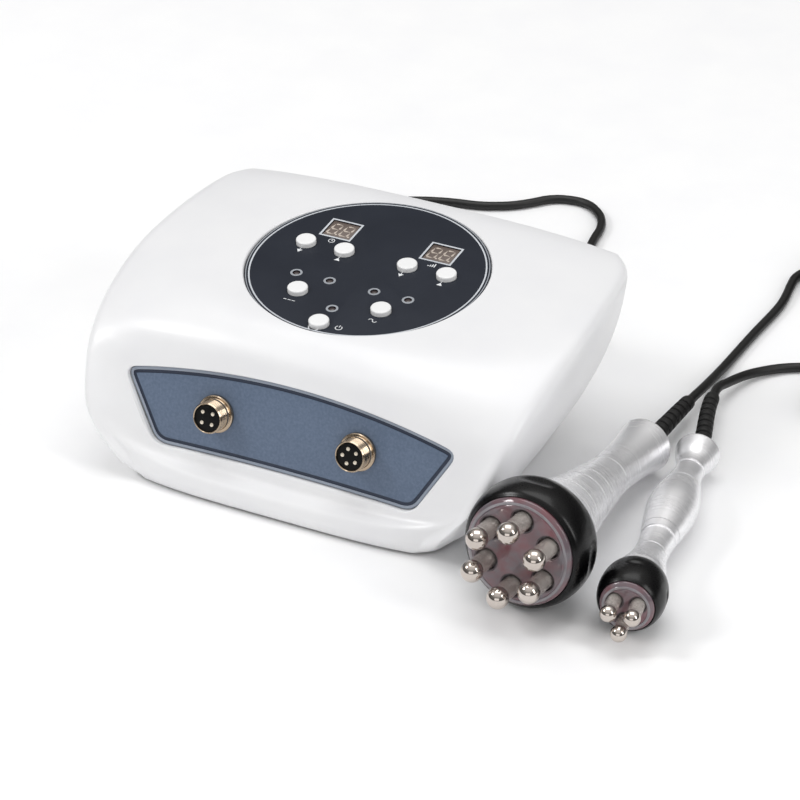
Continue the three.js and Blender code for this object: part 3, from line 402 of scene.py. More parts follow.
lampDark = moulded("lampDark", (52, 40, 41), (42, 31, 32), 1500, 0.05, 0.16, 0.1,
                   **{"Coat Weight": 0.5, "Coat Roughness": 0.05})
pinPale = moulded("pinPale", (238, 229, 212), (220, 208, 188), 3000, 0.1, 0.22, 0.12, Metallic=0.5)
coreSteel = moulded("coreSteel", (108, 108, 112), (84, 82, 84), 700, 0.3, 0.42, 0.2, Metallic=0.8)
print("materials are mixed")


# cords: each runs from its sleeve over the floor into a round coil, and ends in its plug
cord = dict(diameter=5, height=2.55, pitch=5.6, steps=20, tail=30, run=11, gap=0.3)
coils = {
    "large": dict(centre=(190, 251), turns=6.472, start=170, turn=-1, mean=29, plugAxis=9.55, length=1.4),
    "small": dict(centre=(236, 126), turns=6.361, start=110, turn=-1, mean=29, plugAxis=9.55, length=1.31),
    "mains": dict(centre=(-72, 165), turns=7.25, start=180, turn=1, mean=30, plugAxis=7.05, length=1.77),
}
routes = {
    "large": [(146.2, 101, 7.2), (145.6, 128, 3.4), (146.6, 165, 2.55), (148.6, 205, 2.55)],
    "small": [(155.8, 106, 8.2), (161, 126, 4.2), (174, 142, 2.7), (193, 152.5, 2.55)],
    "mains": [(65, 118, 16), (61, 142, 2.55), (47, 172, 2.55), (34, 200, 2.55), (28.5, 225, 2.55),
              (24, 248, 2.55), (9, 264, 2.55), (-10, 262.5, 2.55), (-27, 246, 2.55), (-44, 236, 2.55),
              (-60, 232, 2.55), (-78, 226, 2.55), (-98, 213.5, 2.55), (-108.5, 200, 2.55)],
}


def smoothStep(t):
    t = min(max(t, 0), 1)
    return t * t * (3 - 2 * t)


def coilLine(c):  # winds inwards on the floor, climbs in half a turn and winds outwards on top
    outer = c["mean"] + cord["pitch"] * c["turns"] / 4
    steps = round(c["turns"] * cord["steps"])
    climb = 0.25 / c["turns"]
    line = []
    for n in range(steps + 1):
        u = n / steps
        radius = outer - cord["pitch"] * c["turns"] * min(u, 1 - u)
        angle = radians(c["start"]) + c["turn"] * 2 * pi * c["turns"] * u
        z = cord["height"] + cord["pitch"] * smoothStep((u - 0.5 + climb) / (2 * climb))
        line.append(Vector((c["centre"][0] + radius * cos(angle), c["centre"][1] + radius * sin(angle), z)))
    lead, tail = line[0] - line[1], line[-1] - line[-2]
    lead.z = tail.z = 0
    entry = [line[0] + lead.normalized() * k * cord["diameter"] for k in (2, 1)]
    leave = []
    for k in (0.2, 0.5, 0.8, 1):
        p = line[-1] + tail.normalized() * k * cord["tail"]
        p.z += (c["plugAxis"] - p.z) * smoothStep(k / 0.8)
        leave.append(p)
    return entry + line + leave


def throughPoints(points, run):  # a smooth curve through the points, in steps of about run
    points = [2 * points[0] - points[1], *points, 2 * points[-1] - points[-2]]
    fine = []
    for a, b, c, d in zip(points, points[1:], points[2:], points[3:]):
        d0, d1, d2 = (max((q - p).length ** 0.5, 1e-4) for p, q in ((a, b), (b, c), (c, d)))
        t1 = ((b - a) / d0 - (c - a) / (d0 + d1) + (c - b) / d1) * d1
        t2 = ((c - b) / d1 - (d - b) / (d1 + d2) + (d - c) / d2) * d1
        for k in range(60):
            t = k / 60
            fine.append(b + t1 * t + (3 * (c - b) - 2 * t1 - t2) * t * t + (2 * (b - c) + t1 + t2) * t ** 3)
    fine.append(points[-2])
    return evenly(fine, run)


def evenly(fine, run):
    travelled = [0.0]
    for p, q in zip(fine, fine[1:]):
        travelled.append(travelled[-1] + (q - p).length)
    count = max(round(travelled[-1] / run), 1)
    made = []
    for k in range(count + 1):
        s = travelled[-1] * k / count
        n = min(max(bisect(travelled, s), 1), len(fine) - 1)
        t = (s - travelled[n - 1]) / max(travelled[n] - travelled[n - 1], 1e-9)
        made.append(fine[n - 1].lerp(fine[n], t))
    return made


def cordLine(name, start, aim):
    line = coilLine(coils[name])
    into = (line[1] - line[0]).normalized()
    first, end = start + aim * cord["gap"], line[0] - into * cord["gap"]
    stops = [first, first + aim * 2 * cord["diameter"], *map(Vector, routes[name]),
             end - into * 2 * cord["diameter"], end]
    free = throughPoints(stops, cord["run"])
    for p in free:
        p.z = max(p.z, cord["height"])
    return free[:-1] + line


def plugSpace(name):  # its y axis runs on from the end of the coil
    line = coilLine(coils[name])
    along = line[-1] - line[-2]
    along.z = 0
    along.normalize()
    return space(line[-1] + along * cord["gap"], right=(along.y, -along.x, 0), up=along)


def addCord(name, start, aim, body, plug):
    line = [plan @ p for p in cordLine(name, Vector(start), Vector(aim).normalized())]
    data = bpy.data.curves.new(name + "_cord_line", "CURVE")
    data.dimensions = "3D"
    data.bevel_depth = cord["diameter"] / 2 * mm
    data.bevel_resolution = 4
    data.resolution_u = 3
    data.use_fill_caps = True
    spline = data.splines.new("BEZIER")
    spline.bezier_points.add(len(line) - 1)
    for knot, p in zip(spline.bezier_points, line):
        knot.co = p
        knot.handle_left_type = knot.handle_right_type = "AUTO"
    obj = addPiece(name + "_cord_run", data, cordBlack, body, "black_rubber", name + "_cord", name + "_coil")
    print(name, "cord measures", round(sum((q - p).length for p, q in zip(line, line[1:])), 4))


# the round plug: cable clamp, body, and a knurled ring that turns
roundPlug = dict(
    body=[(0, 0), (3.8, 0), (5, 8), (7.2, 9), (8, 11), (8, 28), (6.1, 28), (6.1, 33), (7.9, 33), (7.9, 35),
          (6.1, 35), (6.1, 46), (5.2, 46), (5.2, 45), (0, 45)],
    ring=[(6.4, 28.3), (9.1, 28.3), (9.5, 28.8), (9.5, 44.8), (9.1, 45.3), (8.25, 45.3), (8.25, 32.7),
          (6.4, 32.7), (6.4, 28.3)],
    knurls=36, knurlDepth=0.35, knurlRadius=9.4, knurlEnds=(31, 43))


def addRoundPlug(name, body, ringBody, p):
    place = plugSpace(name)
    low, high = p["knurlEnds"]
    bm = spun(roundedLine(p["body"], 0.4, 3), "Y", 48)
    shell = addPiece(name + "_plug_body", meshOf(bm, place), blackPlastic, body, "black_plastic", name + "_plug")
    bm = spun(roundedLine(p["ring"], 0.15, 2), "Y", p["knurls"] * 4)
    for v in bm.verts:
        r = hypot(v.co.x, v.co.z)
        if r > p["knurlRadius"] and low < v.co.y < high:
            wave = cos(atan2(v.co.z, v.co.x) * p["knurls"])
            k = 1 - p["knurlDepth"] * (0.5 - 0.5 * wave) / r
            v.co.x *= k
            v.co.z *= k
    metal = turnedMetal(name + "RingNickel", place, "Y", (205, 198, 190), (165, 156, 148), 2400, 0.2, 0.2, 0.2)
    ring = addPiece(name + "_plug_grip", meshOf(bm, place, 50), metal, ringBody, "nickel", name + "_plug_ring")
    return [shell, ring]


# the mains plug: two round pins on a tapered rubber body
mainsPlug = dict(width=35, thickness=14, length=34, pinRadius=2, pinLength=19, pinSpread=19)


def addMainsPlug(p):
    place = plugSpace("mains")
    half, thick, long = p["width"] / 2, p["thickness"] / 2, p["length"]
    bm = bmesh.new()
    sections = [(0, 4.4, 4.2), (6, 5.2, 4.8), (12, 6.6, 5.4), (18, 11.5, 6.4), (22, half - 0.6, thick),
                (long - 2, half, thick), (long, half - 1.2, thick - 1)]
    ring = None
    for station, wide, high in sections:
        ring = nextRing(bm, ring) if ring else newRing(bm, [(0, 0, 0)] * 48)
        for k, v in enumerate(ring):
            c, s = cos(k / 24 * pi), sin(k / 24 * pi)
            fold = 0.5 if station > 15 else 0.75
            v.co = (copysign(wide * abs(c) ** fold, c), station, copysign(high * abs(s) ** fold, s))
    bmesh.ops.contextual_create(bm, geom=ring)
    body = addPiece("mains_plug_body", meshOf(bm, place, 40), rubberBlack, "console", "black_rubber", "mains_plug")
    bm = bmesh.new()
    for side in (-1, 1):
        r, high = p["pinRadius"], long + p["pinLength"]
        pin = [(0, long - 1), (r, long - 1), (r, high - 0.8), (r - 0.7, high), (0, high)]
        spun(roundedLine(pin, 0.3, 2), "Y", 32, bm, (side * p["pinSpread"] / 2, 0, 0))
    metal = turnedMetal("pinNickel", place, "Y", (214, 208, 198), (176, 168, 158), 2000, 0.1, 0.16, 0.15)
    return [body, addPiece("mains_plug_pins", meshOf(bm, place), metal, "console", "nickel", "mains_plug")]


# handpieces lie on their collar and their rear end, so the axis slopes down to the rear
handpieces = {
    "large": dict(
        place=(138.3, -120.8), heading=2.3, lensRadius=27, lensThickness=8, collarTop=15,
        collar=[(27.6, 3), (29.6, 5), (31.1, 9.5), (31.5, 15), (31, 20.5), (29, 25.5), (26.6, 28)],
        neckTop=22, neck=[(24.8, 28.5), (22.9, 33), (20.9, 40), (18.3, 51), (15.7, 65), (13.6, 80), (13.1, 84)],
        grip=[(13, 84.3), (12, 92), (11.3, 102), (11.3, 110), (11.7, 120), (12.8, 132), (14.5, 143)],
        neckGrooves=[(34, 1, 0.5), (50, 1.1, 0.6), (66, 1.1, 0.6), (75, 1.1, 0.6)], gripGrooves=[(97, 1.1, 0.6)],
        rear=14.5, rearStation=143, length=144,
        electrodes=6, circle=17.2, turn=26.2, ball=5.4, stem=4.5, standoff=14.6, well=6.2, wellDepth=4,
        boot=4.9, bootTip=(146, 76, 10.5), bootAim=(0.03, 1, -0.1), dimples=[90, 0, 180, 270]),
    "small": dict(
        place=(192, -117), heading=-8.8, lensRadius=13.1, lensThickness=6, collarTop=14,
        collar=[(13.7, 2.5), (15.1, 5), (16.2, 9.5), (16.4, 14), (16, 19), (14.8, 23), (13.4, 25)],
        neckTop=18, neck=[(12.3, 25.5), (12.3, 30), (10.4, 37), (8.8, 44), (8.2, 52), (8.5, 60), (9.5, 68)],
        grip=[(9.6, 68.3), (11.2, 79), (12.4, 91), (12.1, 99), (11, 107), (9.2, 115), (7.9, 122), (7.4, 129),
              (7.8, 136), (9.8, 142), (11.5, 149)],
        neckGrooves=[(48, 1, 0.5), (62.5, 2.2, 0.6)], gripGrooves=[(112, 1, 0.5), (130, 2.2, 0.6)],
        rear=11.5, rearStation=149, length=150,
        electrodes=3, circle=6.5, turn=28.7, ball=4.1, stem=3.4, standoff=11.6, well=4.6, wellDepth=3,
        boot=4.4, bootTip=(156, 84, 11.5), bootAim=(-0.14, 1, -0.05), dimples=[90, 0, 180, 270]),
}


def handpieceSpace(h):
    slopes = [((r - h["rear"]) / (h["rearStation"] - s), r, s) for r, s in h["collar"]]
    slope, radius, station = max(slopes)
    pitch = atan(slope)
    height = station * sin(pitch) + radius * cos(pitch)
    turned = Matrix.Rotation(-radians(h["heading"]), 4, "Z") @ Matrix.Rotation(-pitch, 4, "X")
    return plan @ Matrix.Translation((*h["place"], height)) @ turned


def addBoot(name, h, body, ribs=9, tip=3.9):  # a ribbed sleeve, turned straight and then bent along its curve
    own = plan.inverted() @ handpieceSpace(h)
    start = own @ Vector((0, h["length"] + 0.3, 0))
    along = (own.to_3x3() @ Vector((0, 1, 0))).normalized()
    end, aim = Vector(h["bootTip"]), Vector(h["bootAim"]).normalized()
    a, b = start + along * 18, end - aim * 18
    fine = [start * (1 - t) ** 3 + a * 3 * t * (1 - t) ** 2 + b * 3 * t * t * (1 - t) + end * t ** 3
            for t in (k / 80 for k in range(81))]
    line = evenly(fine, 0.5)
    length = sum((q - p).length for p, q in zip(line, line[1:]))
    first = h["boot"]
    profile = [(0, 0), (first + 0.5, 0), (first + 0.5, 2.2), (first + 0.1, 3)]
    pitch = (length - 6) / ribs
    for n in range(ribs):
        s, r = 3.4 + n * pitch, first + (tip - first) * (n + 0.5) / ribs
        profile += [(r - 1.3, s), (r - 1.3, s + pitch * 0.2), (r, s + pitch * 0.28), (r, s + pitch * 0.94)]
    profile += [(tip, length - 2.4), (tip - 0.25, length - 0.4), (tip - 0.7, length), (0, length)]
    bm = spun(roundedLine(profile, 0.3, 2), "Y", 40)
    for v in bm.verts:
        x, s, z = v.co
        n = min(max(s / length, 0), 1) * (len(line) - 1)
        k = min(int(n), len(line) - 2)
        ahead = (line[min(k + 2, len(line) - 1)] - line[max(k - 1, 0)]).normalized()
        side = Vector((ahead.y, -ahead.x, 0)).normalized()
        v.co = line[k].lerp(line[k + 1], n - k) + side * x + side.cross(ahead) * z
    addPiece(name + "_boot_sleeve", meshOf(bm, plan), rubberBlack, body, "black_rubber", name + "_boot")


def spotsRound(h, circle, first=0.0):  # one spot for each electrode, on a circle about the axis
    angles = [radians(h["turn"] + 360 / h["electrodes"] * (k + first)) for k in range(h["electrodes"])]
    return [(circle * cos(a), 0, circle * sin(a)) for a in angles]


def collarBore(h):
    return h["neck"][0][0] - fits["collar"]


# a tinted block, clear in part; the red patches in its colour are painted glow from its lamps
smokyLens = moulded("smokyLens", (126, 119, 125), (140, 94, 101), 900, 0.02, 0.05, 0.06, blotch=95,
                    **{"Transmission Weight": 0.35, "IOR": 1.45, "Coat Weight": 0.5, "Coat Roughness": 0.04})
# a lighter clear ring for the lens step: painted highlight along the step's edge
rimHighlightClear = moulded("rimHighlightClear", (162, 158, 163), (142, 136, 142), 900, 0.02, 0.06, 0.06, blotch=60,
                   **{"Transmission Weight": 0.3, "Coat Weight": 0.5, "Coat Roughness": 0.04})
lampBoardRed = moulded("lampBoardRed", (96, 56, 62), (60, 40, 46), 500, 0.15, 0.4, 0.15)
lampRed = moulded("lampRed", (210, 60, 66), (170, 40, 48), 900, 0.1, 0.3, 0.1)
fits = dict(lens=0.3, collar=1.2, neck=0.3)  # lens in the collar, collar over the neck, neck in the collar
dimple = dict(long=0.36, wide=0.17, shift=1)  # long and wide as shares of the collar's front radius
lampBoard = dict(thickness=1.6, gap=0.3, lamp=(2.6, 1.3, 2.6), lampDepth=2.2, lampCircle=1.08)


def addLens(name, h, place, body):  # a stepped rim, a well round each electrode and a bore for its stem
    r, end, well, deep, stem = (h[key] for key in ("lensRadius", "lensThickness", "well", "wellDepth", "stem"))
    spots = spotsRound(h, h["circle"])
    profile = [(0, 0), (r - 3.4, 0), (r - 3, 0.45), (r - 1.6, 0.45), (r, 2), (r, end), (0, end)]
    hole = [(0, -1), (well, -1), (well, deep), (stem + 0.15, deep), (stem + 0.15, end + 1), (0, end + 1)]
    lens = cut(spun(roundedLine(profile, 0.5, 4), "Y", 96), spunAt(spots, hole, "Y", 48), place)
    addPiece(name + "_lens_block", lens, smokyLens, body, "lens_smoky", name + "_lens")
    # a lighter ring lies on the step as a painted highlight
    rim = [(r - 2.9, 0.42), (r - 2.75, 0.2), (r - 1.75, 0.2), (r - 1.55, 0.42), (r - 1.55, 0.6), (r - 2.9, 0.6),
           (r - 2.9, 0.42)]
    addPiece(name + "_lens_rim_highlight", meshOf(spun(rim, "Y", 96), place), rimHighlightClear, body, "lens_smoky")
    # a dark cup of painted shade lines each well, and shows through the lens
    well, low, stem = well - 0.08, deep - 0.08, stem + 0.05
    cup = [(well, 0.25), (well, low), (stem, low), (stem, deep - 0.5), (well - 0.5, deep - 0.5), (well - 0.5, 0.25),
           (well, 0.25)]
    addPiece(name + "_lens_wells", meshOf(spunAt(spots, cup, "Y", 48), place), wellShadeBrown, body, "lens_smoky")


def addElectrodes(name, h, place, body):  # a chrome ball on a stem each
    chrome = turnedMetal(name + "Chrome", place, "Y", (206, 197, 190), (176, 166, 158), 900, 0.02, 0.06, 0.06,
                         metallic=0.95)
    # the stems take a lighter, less metallic copy of the electrode metal: painted highlight for their bright streaks
    stemHighlightMetal = turnedMetal(name + "StemMetal", place, "Y", (246, 238, 231), (228, 218, 209), 5200, 3, 0.12,
                            0.08, metallic=0.72)
    r, stem, opening, steps = h["ball"], h["stem"], pi - asin(h["stem"] / h["ball"]), 20
    ball = [(r * sin(opening * n / steps), -h["standoff"] - r * cos(opening * n / steps)) for n in range(steps + 1)]
    stop = h["collarTop"] - lampBoard["gap"] - lampBoard["thickness"] - lampBoard["gap"]
    for n, spot in enumerate(spotsRound(h, h["circle"])):
        bm = spun([*ball, (stem, stop), (0, stop)], "Y", 48, offset=spot)
        stems = [f.calc_center_median().y > ball[-1][1] for f in bm.faces]
        tip = addPiece(f"{name}_electrode_tip_{n + 1}", meshOf(bm, place), chrome, body, "electrode_chrome",
                       f"{name}_electrode_{n + 1}").data
        tip.materials.append(stemHighlightMetal)
        tip.polygons.foreach_set("material_index", stems)


def addCollar(name, h, place, body):  # with shallow finger dimples
    (frontRadius, front), (backRadius, back) = h["collar"][0], h["collar"][-1]
    seat, bore, top = h["lensRadius"] + fits["lens"], collarBore(h), h["collarTop"]
    outside = smoothLine(h["collar"], 8)
    inside = [(backRadius - 0.7, back + 0.25), (bore, back + 0.2), (bore, top), (seat, top), (seat, front + 0.1),
              (frontRadius - 0.1, front - 0.1)]
    bm = spun([*outside, *inside, outside[0]], "Y", 160)
    middle = (front + back) / 2 + dimple["shift"]
    long, wide = dimple["long"] * frontRadius, dimple["wide"] * frontRadius
    for v in bm.verts:
        reach, angle = hypot(v.co.x, v.co.z), atan2(v.co.z, v.co.x)
        if reach < seat + 1 and v.co.y > front:
            continue
        for d in h["dimples"]:
            away = (angle - radians(d) + pi) % (2 * pi) - pi
            q = hypot(away * reach / long, (v.co.y - middle) / wide)
            if q < 1:
                k = 1 - 0.05 * frontRadius ** 0.5 * (1 - q * q) ** 1.5 * 5 / reach
                v.co.x *= k
                v.co.z *= k
    addPiece(name + "_collar_moulding", meshOf(bm, place, 50), collarBlack, body, "collar_black", name + "_collar")


def addTurnings(name, h, place, body):  # neck and grip, of satin aluminium
    metal = turnedMetal(name + "Aluminium", place, "Y", (248, 248, 250), (240, 239, 241), 5200, 0.9, 0.24,
                        0.1, metallic=0.68)
    low, nose, shoulder = h["neckTop"], collarBore(h) - fits["neck"], h["collar"][-1][1] + fits["neck"]
    line = grooved(smoothLine([(h["neck"][0][0], shoulder), *h["neck"][1:]]), h["neckGrooves"])
    bm = spun([(0, low), (nose, low), (nose, shoulder), *line, (0, line[-1][1])], "Y", 128)
    addPiece(name + "_neck_turning", meshOf(bm, place, 30), metal, body, "aluminium", name + "_neck")
    line = grooved(smoothLine(h["grip"]), h["gripGrooves"])
    end, r = h["length"], h["rear"]
    tail = roundedLine([line[-2], (r, h["rearStation"]), (r - 1, end), (0, end)], 0.6, 4)
    bm = spun([(0, line[0][1]), *line[:-1], *tail[1:]], "Y", 128)
    addPiece(name + "_grip_turning", meshOf(bm, place, 30), metal, body, "aluminium", name + "_grip")


def addLampBoard(name, h, place, body):  # behind the lens, with its red lamps
    r, high = h["lensRadius"] - 0.5, h["collarTop"] - lampBoard["gap"]
    low, level = high - lampBoard["thickness"], high - lampBoard["lampDepth"]
    bm = spun([(0, low), (r, low), (r, high), (0, high)], "Y", 64)
    addPiece(name + "_lamp_board_disc", meshOf(bm, place), lampBoardRed, body, "board_green", name + "_lamp_board")
    bm = bmesh.new()
    for x, _, z in [*spotsRound(h, h["circle"] * lampBoard["lampCircle"], 0.5), (0, 0, 0)]:
        block(lampBoard["lamp"], (x, level, z), 0.3, 2, bm)
    addPiece(name + "_lamps", meshOf(bm, place), lampRed, body, "lens_smoky")


def addHandpiece(name, h):
    for add in (addLens, addElectrodes, addCollar, addTurnings, addLampBoard):
        add(name, h, handpieceSpace(h), name + "_handpiece")
    addBoot(name, h, name + "_handpiece")


for name, h in handpieces.items():
    addHandpiece(name, h)
    plug = addRoundPlug(name, name + "_handpiece", name + "_ring", roundPlug)
    addCord(name, h["bootTip"], h["bootAim"], name + "_handpiece", plug)
print("handpieces and their cords are done")

glandTip = plan.inverted() @ rearSpace @ Vector((-29, 0, 30))
addCord("mains", glandTip, rearSpace.to_3x3() @ Vector((0, 0, 1)), "console", addMainsPlug(mainsPlug))
print("mains cord is done")


# casing: a moulded shell drawn from rows of numbers, front to back
casing = dict(
    # edge x, y, z; middle y, z; foot x, y; flatness across; bulge of the wall
    stations=[
        (83, -100, 14.5, -104, 12, 74.5, -99.5, 4, 1.5), (94, -100, 22, -99.5, 14.3, 83, -93, 5, 6),
        (102.5, -100.5, 32, -95.2, 17.8, 86.5, -84, 6, 8), (108, -98, 42, -91.8, 32, 88, -75, 6, 8),
        (113, -88.5, 55, -87.6, 49, 88.5, -66, 6, 8), (117, -76, 65.5, -83.7, 65, 89, -57, 5, 8),
        (120.5, -55, 75.5, -78, 77.5, 89.5, -42, 4, 8), (122, -30, 83, -64, 86.2, 90, -24, 3, 8.5),
        (122, -8, 87, -38, 89, 90, -8, 3, 8.5), (120.5, 18, 89, -5, 91.4, 90, 8, 3, 8.5),
        (118.5, 42, 89.2, 35, 93.5, 89.2, 24, 3, 8.5), (115, 62, 88.9, 62, 94.2, 87, 38, 3, 8),
        (106, 74, 88.5, 76, 92.5, 80, 44.5, 3, 6)],
    spanSteps=[5, 6, 9, 9, 8, 7, 10, 12, 12, 14, 10, 8], columns=100, footFront=-103, footBack=46, footZ=1.5,
    edge=6, frontStart=0.6, backStart=0.43, edgeSteps=6, wallSteps=16, wall=3)
plate = dict(radius=61.7, thickness=2, gap=0.35, ledge=2.1, fillet=0.9,
             buttons={"time_down": (-39.3, 9), "time_up": (-17.6, 9), "intensity_down": (17.6, 9),
                      "intensity_up": (39.3, 9), "function": (-23, -31.3), "mode": (23, -31.3),
                      "on_off": (0, -52.9)},
             lamps=[(-31, -17.5), (-12.35, -17.5), (12.35, -17.5), (31, -17.5), (0, -38.9)],
             displays={"time_display": (-28.15, 26.45), "intensity_display": (28.15, 26.45)}, window=(15.4, 14.2),
             buttonHole=5.5, lampHole=2.4, border=(59, 59.8), edgeHighlight=(60.75, 61.25), lampRing=(2, 3.1),
             ink=0.05, arrow=dict(below=7.9, half=1.5, foot=0.9, dash=6.1))
digit = dict(apart=3.45, shift=-0.3, half=4.5, across=3.9, side=2.15, quarter=2.25, upright=4.1, tip=0.6, lean=0.14,
             level=-0.4, dot=0.6, dotPlace=(2.75, -4.4))
controlBoard = dict(top=-9, thickness=1.6, radius=57.5, switch=(6, 6, 2.4), switchLevel=-7.8, stem=1.7, post=3,
                    posts=[(-44, 22), (44, 22), (-42, -22), (42, -22)])
panel = dict(lower=70.8, upper=91, shoulder=35, crown=46.2, bow=1.6, corner=6.5, thickness=2.5, gap=0.35, fillet=0.9,
             jacks={"jack_four_pin": (-39, 4), "jack_five_pin": (39, 5)}, jackHeight=23, jackHole=8.1)
jack = dict(threads=5, threadStart=3.6, threadPitch=1.05, contactCircle=3.9)
rear = dict(size=(88, 32), corner=6, fillet=0.9, switch=25, fuse=-4, gland=-29, vents=7, firstVent=58, ventPitch=7,
            vent=(3, 26), switchHole=(13.6, 19.6), fuseHole=6.3, glandHole=5.3)


def skin(s, t):
    x, y, z, middleY, middleZ, _, _, flat, _ = between(casing["stations"], t)
    g = abs(s) ** flat
    return Vector((x * s, middleY + (y - middleY) * g, middleZ + (z - middleZ) * g))


def footOf(s, t):
    row = between(casing["stations"], t)
    x, sideY = row[5], row[6]
    end = {0: casing["footFront"], 12: casing["footBack"]}.get(t, sideY)
    return Vector((x * s, end + (sideY - end) * abs(s) ** 4, casing["footZ"]))


def across(i):
    half = i / casing["columns"] - 0.5
    return sin(half * pi) * 0.35 + half * 1.3


def casingLoop():  # the rim, the wall's direction outwards, and the foot, all the way round
    rows = [n + k / steps for n, steps in enumerate(casing["spanSteps"]) for k in range(steps)] + [12]
    last, wide = len(rows) - 1, casing["columns"]
    loop = [(i, 0) for i in range(wide)] + [(wide, j) for j in range(last)]
    loop += [(i, last) for i in range(wide, 0, -1)] + [(0, j) for j in range(last, 0, -1)]
    rims = [skin(across(i), rows[j]) for i, j in loop]
    feet = [footOf(across(i), rows[j]) for i, j in loop]
    around = zip(rims[-1:] + rims[:-1], rims[1:] + rims[:1])
    outs = [Vector(((b - a).y, (a - b).x, 0)).normalized() for a, b in around]
    bulges = [between(casing["stations"], rows[j])[8] for i, j in loop]
    return rows, loop, rims, feet, outs, bulges


def wallAt(rim, foot, out, bulge, v):
    return rim.lerp(foot, v) + out * bulge * 4 * v * (1 - v)


def outline(points, corners, radius, steps=6):  # rounds the named corners of a closed line
    made = []
    for n, p in enumerate(points):
        if n not in corners:
            made.append(Vector(p))
            continue
        before, after = Vector(points[n - 1]), Vector(points[(n + 1) % len(points)])
        made += roundCorner(before, Vector(p), after, radius, steps)
    return made


def grown(line, distance):
    made = []
    for n, p in enumerate(line):
        before, after = (p - line[n - 1]).normalized(), (line[(n + 1) % len(line)] - p).normalized()
        made.append(p + Vector((before.y + after.y, -before.x - after.x)) * distance / (1 + before.dot(after)))
    return made


def panelOutline():
    arc = [(panel["upper"] * (1 - 2 * t), panel["shoulder"] + 4 * t * (1 - t) * (panel["crown"] - panel["shoulder"]))
           for t in (k / 48 for k in range(49))]
    bow = [(k / 12 * panel["lower"], panel["bow"] * (1 - (k / 12) ** 2)) for k in range(-10, 11)]
    points = [(-panel["lower"], 0), *bow, (panel["lower"], 0), arc[0], *arc[3:-3], arc[-1]]
    return outline(points, {0, len(bow) + 1, len(bow) + 2, len(points) - 1}, panel["corner"])


def rearOutline():
    w, h = rear["size"][0] / 2, rear["size"][1] / 2
    return outline([(-w, -h), (w, -h), (w, h), (-w, h)], {0, 1, 2, 3}, rear["corner"])


def prism(line, low, high, bm=None):
    bm = bm or bmesh.new()
    ring = nextRing(bm, newRing(bm, [(*p, low) for p in line]))
    for v, p in zip(ring, line):
        v.co = (*p, high)
    bmesh.ops.contextual_create(bm, geom=ring)
    return bm


# a recess whose upper edge is rounded where it meets the skin
def pocket(line, low, place, tree, fillet, bm, high=22):
    down = (place.to_3x3() @ Vector((0, 0, -1))).normalized()
    def level(p):
        hit = tree.ray_cast(place @ Vector((*p, 60)), down)[0]
        return (place.inverted() @ hit).z if hit else 0
    local = bmesh.new()
    ring = newRing(local, [(*p, low) for p in line])
    for k in range(5):
        turn = radians(75 * k / 4)
        wider = grown(line, fillet * (1 - cos(turn)))
        ring = nextRing(local, ring)
        levels = [level(p) for p in wider]
        for v, p, z in zip(ring, wider, levels):
            v.co = (*p, z - fillet + fillet * sin(turn))
    ring = nextRing(local, ring)
    for v, p, z in zip(ring, grown(line, fillet * 0.82), levels):
        v.co = (*p, z + 0.3)
    ring = nextRing(local, ring)
    for v in ring:
        v.co.z = high
    bmesh.ops.contextual_create(local, geom=ring)
    print("  skin stands", round(min(levels), 2), "to", round(max(levels), 2), "mm over this face")
    placed(bm, local, place)


def placed(bm, local, place):  # adds a local shape to bm at its place
    bmesh.ops.recalc_face_normals(local, faces=local.faces)
    bmesh.ops.transform(local, matrix=place, verts=local.verts)
    bm.from_mesh(plainMesh(local))


def circleLine(radius, steps=144):
    return [Vector((radius * cos(a), radius * sin(a))) for a in (2 * pi * k / steps for k in range(steps))]


